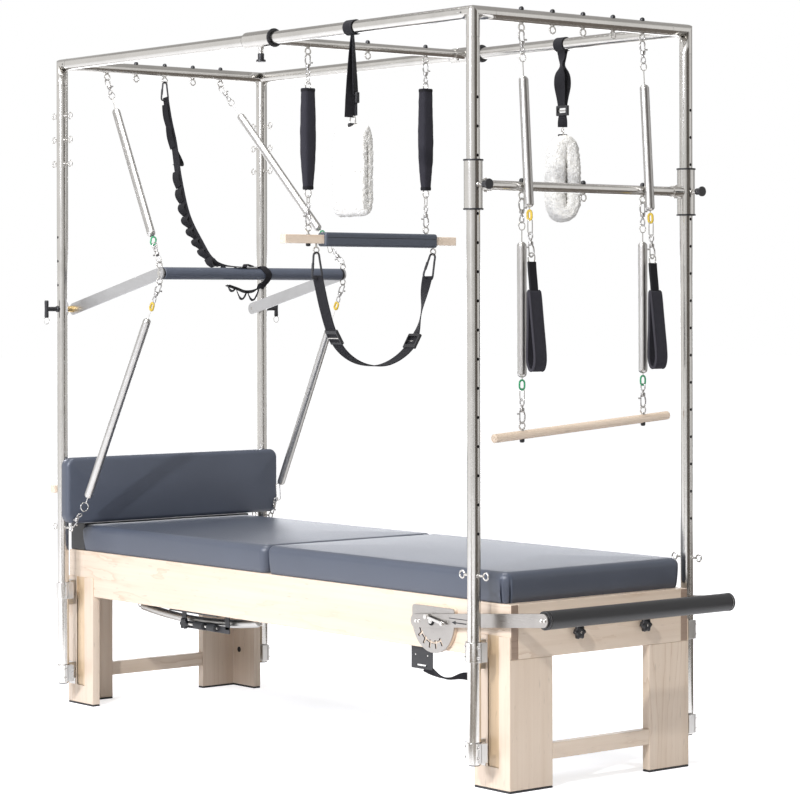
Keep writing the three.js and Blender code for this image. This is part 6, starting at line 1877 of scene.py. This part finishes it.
class SMALL_OT_storage(bpy.types.Operator):
    """Builds the storage bracket with the spring kept in it, and the strap plate with its webbing"""

    bl_idname = "trapeze.storage"
    bl_label = "Storage"

    def execute(self, context):
        top = RAIL_FOOT - SEAM
        x0, x1, y, drop = BRACKET
        parts = [board(at(x0, -BED_Y, top - 0.004), at(x1, y + 0.024, top), 0.0008, COAT)]
        for x in (x0, x1 - 0.022):
            parts.append(board(at(x, y - 0.004, top - 0.05), at(x + 0.022, y, top - 0.003), 0.001, COAT))
        low = board(at(x0, y - 0.004, top - drop), at(x1, y, top - 0.04), 0.001, COAT)
        parts.append(smooth(eased(low, lambda place: place.z < top - 0.0605, Y, 0.016, 6)))
        rod_z = top - 0.047
        for name, x in (("bracket rod", 0.05), ("long roller", 0.085), ("short roller", 0.16)):
            parts.append(fitting(name, at(x0 + x, y - 0.012, rod_z), X))
        parts.append(moved(star_knob(0.019, 0.012), placed(at(x0 + 0.03, y - 0.01, rod_z), -X, -Z, -Y)))
        parts.append(board(at(-0.42, y, top - drop), at(-0.376, y + 0.038, top - 0.04), 0.002, COAT))
        dress("storage_holder", parts, ["storage_bracket"])
        line = [at(-0.8 + 0.655 * share, y + 0.025, top - 0.0173 - 0.088 * share * (1 - share))
                for share in (k / 40 for k in range(41))]
        spring = [self.bent_spring(line, 0.0128)]
        for start, way in ((line[0], line[0] - line[3]), (line[-1], line[-1] - line[-4])):
            way = way.normalized()
            spring.append(ring(start + way * 0.012, 0.0075, 0.0017, Y, STEEL, 0.004, way))
        dress("stored_coil", spring, ["storage_bracket"])
        self.strap(top)
        return {"FINISHED"}

    def bent_spring(self, line, radius):
        """A close-wound spring laid along a sagging line."""
        length = length_of(line)
        piece = coil_spring((0, 0, 0), Z, length, radius, sizes().spring_wire)
        steps = len(line) - 1
        for corner in piece.data.vertices:
            share = min(max(corner.co.z / length, 0), 1) * steps
            k = min(int(share), steps - 1)
            way = (line[k + 1] - line[k]).normalized()
            corner.co = line[k].lerp(line[k + 1], share - k) + Y.cross(way) * corner.co.x + Y * corner.co.y
        return smooth(outward(piece), 70)

    def strap(self, top):
        """The plate under the far rail's end with its twisted webbing."""
        x0, x1, y, drop = STRAP_PLATE
        plate = board(at(x0, y - 0.003, top - drop), at(x1, y, top), 0.0007, COAT, 2)
        eased(plate, lambda place: place.z < top - 0.064, Y, 0.009, 5)
        slot = board(at(x0 + 0.024, y - 0.02, top - 0.058), at(x1 - 0.024, y + 0.02, top - 0.053), 0.001,
                     COAT)
        parts = [smooth(carved(smooth(plate), slot, SHADOW)),
                 board(at(x0, y - 0.003, top - 0.003), at(x1, y + 0.02, top), 0.0007, COAT, 2)]
        parts += [fitting("strap rivet", at(x, y - 0.003, top - 0.026), -Y) for x in (x0 + 0.02, x0 + 0.074)]
        start, run, count = at(0.73, y, 0.306), Vector((0.34, -0.19 - y, 0.04)), 70
        line = smooth_line([start + run * Vector(share) for share in STRAP_ROUTE], count)
        arcs = [math.pi * k / (count - 1) for k in range(count)]
        line = [point + Z * 0.0045 * math.sin(arc * 7) * math.sin(arc) for point, arc in zip(line, arcs)]
        wide = []
        for k, arc in enumerate(arcs):
            tangent = (line[min(k + 1, count - 1)] - line[max(k - 1, 0)]).normalized()
            level = tangent.cross(Z).normalized()
            turn = 1.2 + 2.9 * math.sin(arc)
            wide.append(level * math.cos(turn) + tangent.cross(level) * math.sin(turn))
        band = swept(line, wide, flat_section(0.024, 0.0035), WEBBING)
        plate = dress("strap_hanger", parts, ["strap_plate"])
        strap = dress("storage_webbing", [band], ["strap_plate"])


# The room. Lamps are (name, place, aim, size, power, tint), and cards (name, place, size, aim, tone)
LAMPS = (("key", (1.0, -6.4, 3.7), (0, 0, 0.9), 2.0, 300, (0.955, 0.985, 1.1)),
         ("front", (3.5, -6.5, 5.35), (-0.6, 0, 0.8), 0.22, 350, (1, 1, 1)),
         ("top", (-0.5, -0.6, 5.2), (0, 0, 0.5), 3.0, 140, (1, 1, 1)))
CARDS = (("dark card", (2.95, -0.15, 1.6), (1.8, 3.3), (0, -0.15, 1.6), (0.15, 0.135, 0.12)),
         ("bright card", (-2.9, 2.4, 0.95), (5.2, 1.2), (0, 0, 0.95), (3.3, 3.35, 3.5)),
         ("left floor card", (1.4, -4.0, 0.012), (2.0, 6.0), (1.4, -4.0, 3), (0.36, 0.32, 0.28)),
         ("low floor card", (2.3, -1.6, 0.014), (2.0, 2.0), (2.3, -1.6, 3), (0.5, 0.45, 0.4)),
         ("right floor card", (5.2, -1.3, 0.013), (6.0, 2.2), (5.2, -1.3, 3), (0.36, 0.32, 0.28)),
         ("ceiling card", (0, 1.5, 6.5), (16, 9), (0, 1.5, 0), (0.48, 0.47, 0.46)),
         ("floor card", (3.2, 4.4, 0.012), (8.5, 6.4), (3.2, 4.4, 3), (0.21, 0.185, 0.165)))
# The tone of the mirrored walls by their azimuth in degrees
WALL_TONES = ((-180, 0.75), (-155, 1.0), (-72, 1.0), (-48, 0.74), (22, 0.58), (30, 0.95), (50, 0.95),
              (60, 0.5), (120, 0.55), (179, 0.72))
SKY_LIGHT = 0.43
FLOOR_GLOW = 0.68
CAMERA = {"place": (6.5439, -5.2641, 1.3469), "azimuth": 50.5866, "roll": -0.1015, "lens": 120.95,
          "shift": -0.12}


def glowing(piece, build):
    """Gives a stage piece a material whose surface build makes."""
    material = bpy.data.materials.new(piece.name)
    material.use_nodes = True
    tree = material.node_tree
    tree.nodes.clear()
    leave = tree.nodes.new("ShaderNodeOutputMaterial")
    tree.links.new(build(tree), leave.inputs["Surface"])
    piece.data.materials.append(material)


def glow(tree, tone, strength=1.0):
    return grow(tree, "ShaderNodeEmission", {"Color": tone, "Strength": strength}).outputs[0]


def mirrors_only(piece):
    for kind in ("camera", "diffuse", "transmission", "shadow", "volume_scatter"):
        setattr(piece, f"visible_{kind}", False)


def aimed(piece, place, aim, axis):
    """Turns a piece at a place so that one of its axes points at aim."""
    piece.location = place
    piece.rotation_euler = (Vector(aim) - Vector(place)).to_track_quat(axis, "Y").to_euler()


def light_card(name, place, size, aim, tone):
    """A card that only mirrors see, so that polished tube has dark streaks as in a studio."""
    deselect()
    bpy.ops.mesh.primitive_plane_add(size=1, location=place)
    card = bpy.context.object
    card.name = name
    card.scale = (*size, 1)
    aimed(card, place, aim, "Z")
    mirrors_only(card)
    glowing(card, lambda tree: glow(tree, colour(tone)))


def wall_glow(tree):
    """The walls' glow, which changes with the azimuth."""
    places = tree.nodes.new("ShaderNodeTexCoord").outputs
    sweep = grow(tree, "ShaderNodeTexGradient", {"Vector": places["Object"]}, gradient_type="RADIAL")
    ramp = grow(tree, "ShaderNodeValToRGB", {"Fac": sweep.outputs["Fac"]})
    marks = ramp.color_ramp.elements
    for k, (azimuth, tone) in enumerate(WALL_TONES):
        mark = marks[k] if k < 2 else marks.new(k)
        mark.position = (azimuth + 180) / 360
        mark.color = (tone, tone * 0.99, tone * 0.98, 1)
    return glow(tree, ramp.outputs[0])


def surround():
    """Pale studio walls that only mirrors see, some darker than others."""
    deselect()
    bpy.ops.mesh.primitive_cylinder_add(vertices=96, radius=11, depth=9, end_fill_type="NOTHING",
                                        location=(0, 0, 4.4))
    walls = bpy.context.object
    walls.name = "mirrored walls"
    mirrors_only(walls)
    glowing(walls, wall_glow)


def seen_directly(tree):
    """1 for rays from the eye, from mirrors and through glass."""
    path = tree.nodes.new("ShaderNodeLightPath").outputs
    seen = sum_of(tree, "MAXIMUM", path["Is Camera Ray"], path["Is Glossy Ray"])
    return sum_of(tree, "MAXIMUM", seen, path["Is Transmission Ray"])


def floor_surface(tree):
    """A pale matt floor that keeps its shadow and glows up to white where it is seen."""
    matt = grow(tree, "ShaderNodeBsdfDiffuse", {"Color": (0.8, 0.8, 0.82, 1), "Roughness": 0.0})
    shine = glow(tree, (1, 1, 1, 1), sum_of(tree, "MULTIPLY", seen_directly(tree), FLOOR_GLOW))
    return grow(tree, "ShaderNodeAddShader", {0: matt.outputs[0], 1: shine}).outputs[0]


class STAGE_OT_room(bpy.types.Operator):
    """Sets the pale floor, the soft lamps and the camera"""

    bl_idname = "trapeze.room"
    bl_label = "Room"

    def execute(self, context):
        scene = bpy.context.scene
        scene.view_settings.view_transform = "Standard"
        scene.world = bpy.data.worlds.new("studio")
        scene.world.use_nodes = True
        tree = scene.world.node_tree
        back = tree.nodes["Background"].inputs
        back["Color"].default_value = (1, 1, 1, 1)
        tree.links.new(ranged(tree, seen_directly(tree), 0, 1, SKY_LIGHT, 1.0), back["Strength"])
        deselect()
        bpy.ops.mesh.primitive_circle_add(vertices=96, radius=60, fill_type="NGON", location=(0, 0, 0))
        floor = bpy.context.object
        floor.name = "floor"
        glowing(floor, floor_surface)
        for lamp in LAMPS:
            self.lamp(*lamp)
        surround()
        for card in CARDS:
            light_card(*card)
        self.camera(scene)
        return {"FINISHED"}

    def lamp(self, name, place, aim, size, power, tint):
        data = bpy.data.lights.new(name, "AREA")
        data.shape = "DISK"
        data.size = size
        data.energy = power
        data.color = tint
        lamp = bpy.data.objects.new(name, data)
        bpy.context.scene.collection.objects.link(lamp)
        aimed(lamp, place, aim, "-Z")

    def camera(self, scene):
        data = bpy.data.cameras.new("camera")
        data.sensor_width = 36
        data.lens = CAMERA["lens"]
        data.shift_y = CAMERA["shift"]
        data.clip_start = 0.1
        data.clip_end = 200
        camera = bpy.data.objects.new("camera", data)
        scene.collection.objects.link(camera)
        azimuth, roll = (Matrix.Rotation(math.radians(CAMERA[key]), 4, "Z") for key in ("azimuth", "roll"))
        turn = azimuth @ Matrix.Rotation(math.pi / 2, 4, "X") @ roll
        camera.matrix_world = Matrix.Translation(CAMERA["place"]) @ turn
        scene.camera = camera


class TRAPEZE_PT_panel(bpy.types.Panel):
    bl_idname = "TRAPEZE_PT_panel"
    bl_label = "Trapeze Table"
    bl_space_type = "VIEW_3D"
    bl_region_type = "UI"
    bl_category = "Trapeze Table"

    def draw(self, context):
        for group in (context.scene.trapeze_sizes, context.scene.trapeze_colours):
            for key in group.__annotations__:
                self.layout.prop(group, key)
        for step in STEPS:
            self.layout.operator(step.bl_idname)


STEPS = (
    FINISHES_OT_make, STAGE_OT_room, CANOPY_OT_posts, CANOPY_OT_beams, TABLE_OT_woodwork, TABLE_OT_mats,
    BARS_OT_sliding, BARS_OT_travelling, BARS_OT_push_through, LOOPS_OT_hand, LOOPS_OT_fleece, FOOT_OT_bar,
    SMALL_OT_knobs, SMALL_OT_storage,
)
CLASSES = (TableSizes, TableColours, *STEPS, TRAPEZE_PT_panel)


def register():
    for kind in CLASSES:
        bpy.utils.register_class(kind)
    bpy.types.Scene.trapeze_sizes = bpy.props.PointerProperty(type=TableSizes)
    bpy.types.Scene.trapeze_colours = bpy.props.PointerProperty(type=TableColours)


def unregister():
    del bpy.types.Scene.trapeze_colours
    del bpy.types.Scene.trapeze_sizes
    for kind in reversed(CLASSES):
        bpy.utils.unregister_class(kind)


def main():
    register()
    for step in STEPS:
        group, name = step.bl_idname.split(".")
        getattr(getattr(bpy.ops, group), name)()


if __name__ == "__main__":
    main()
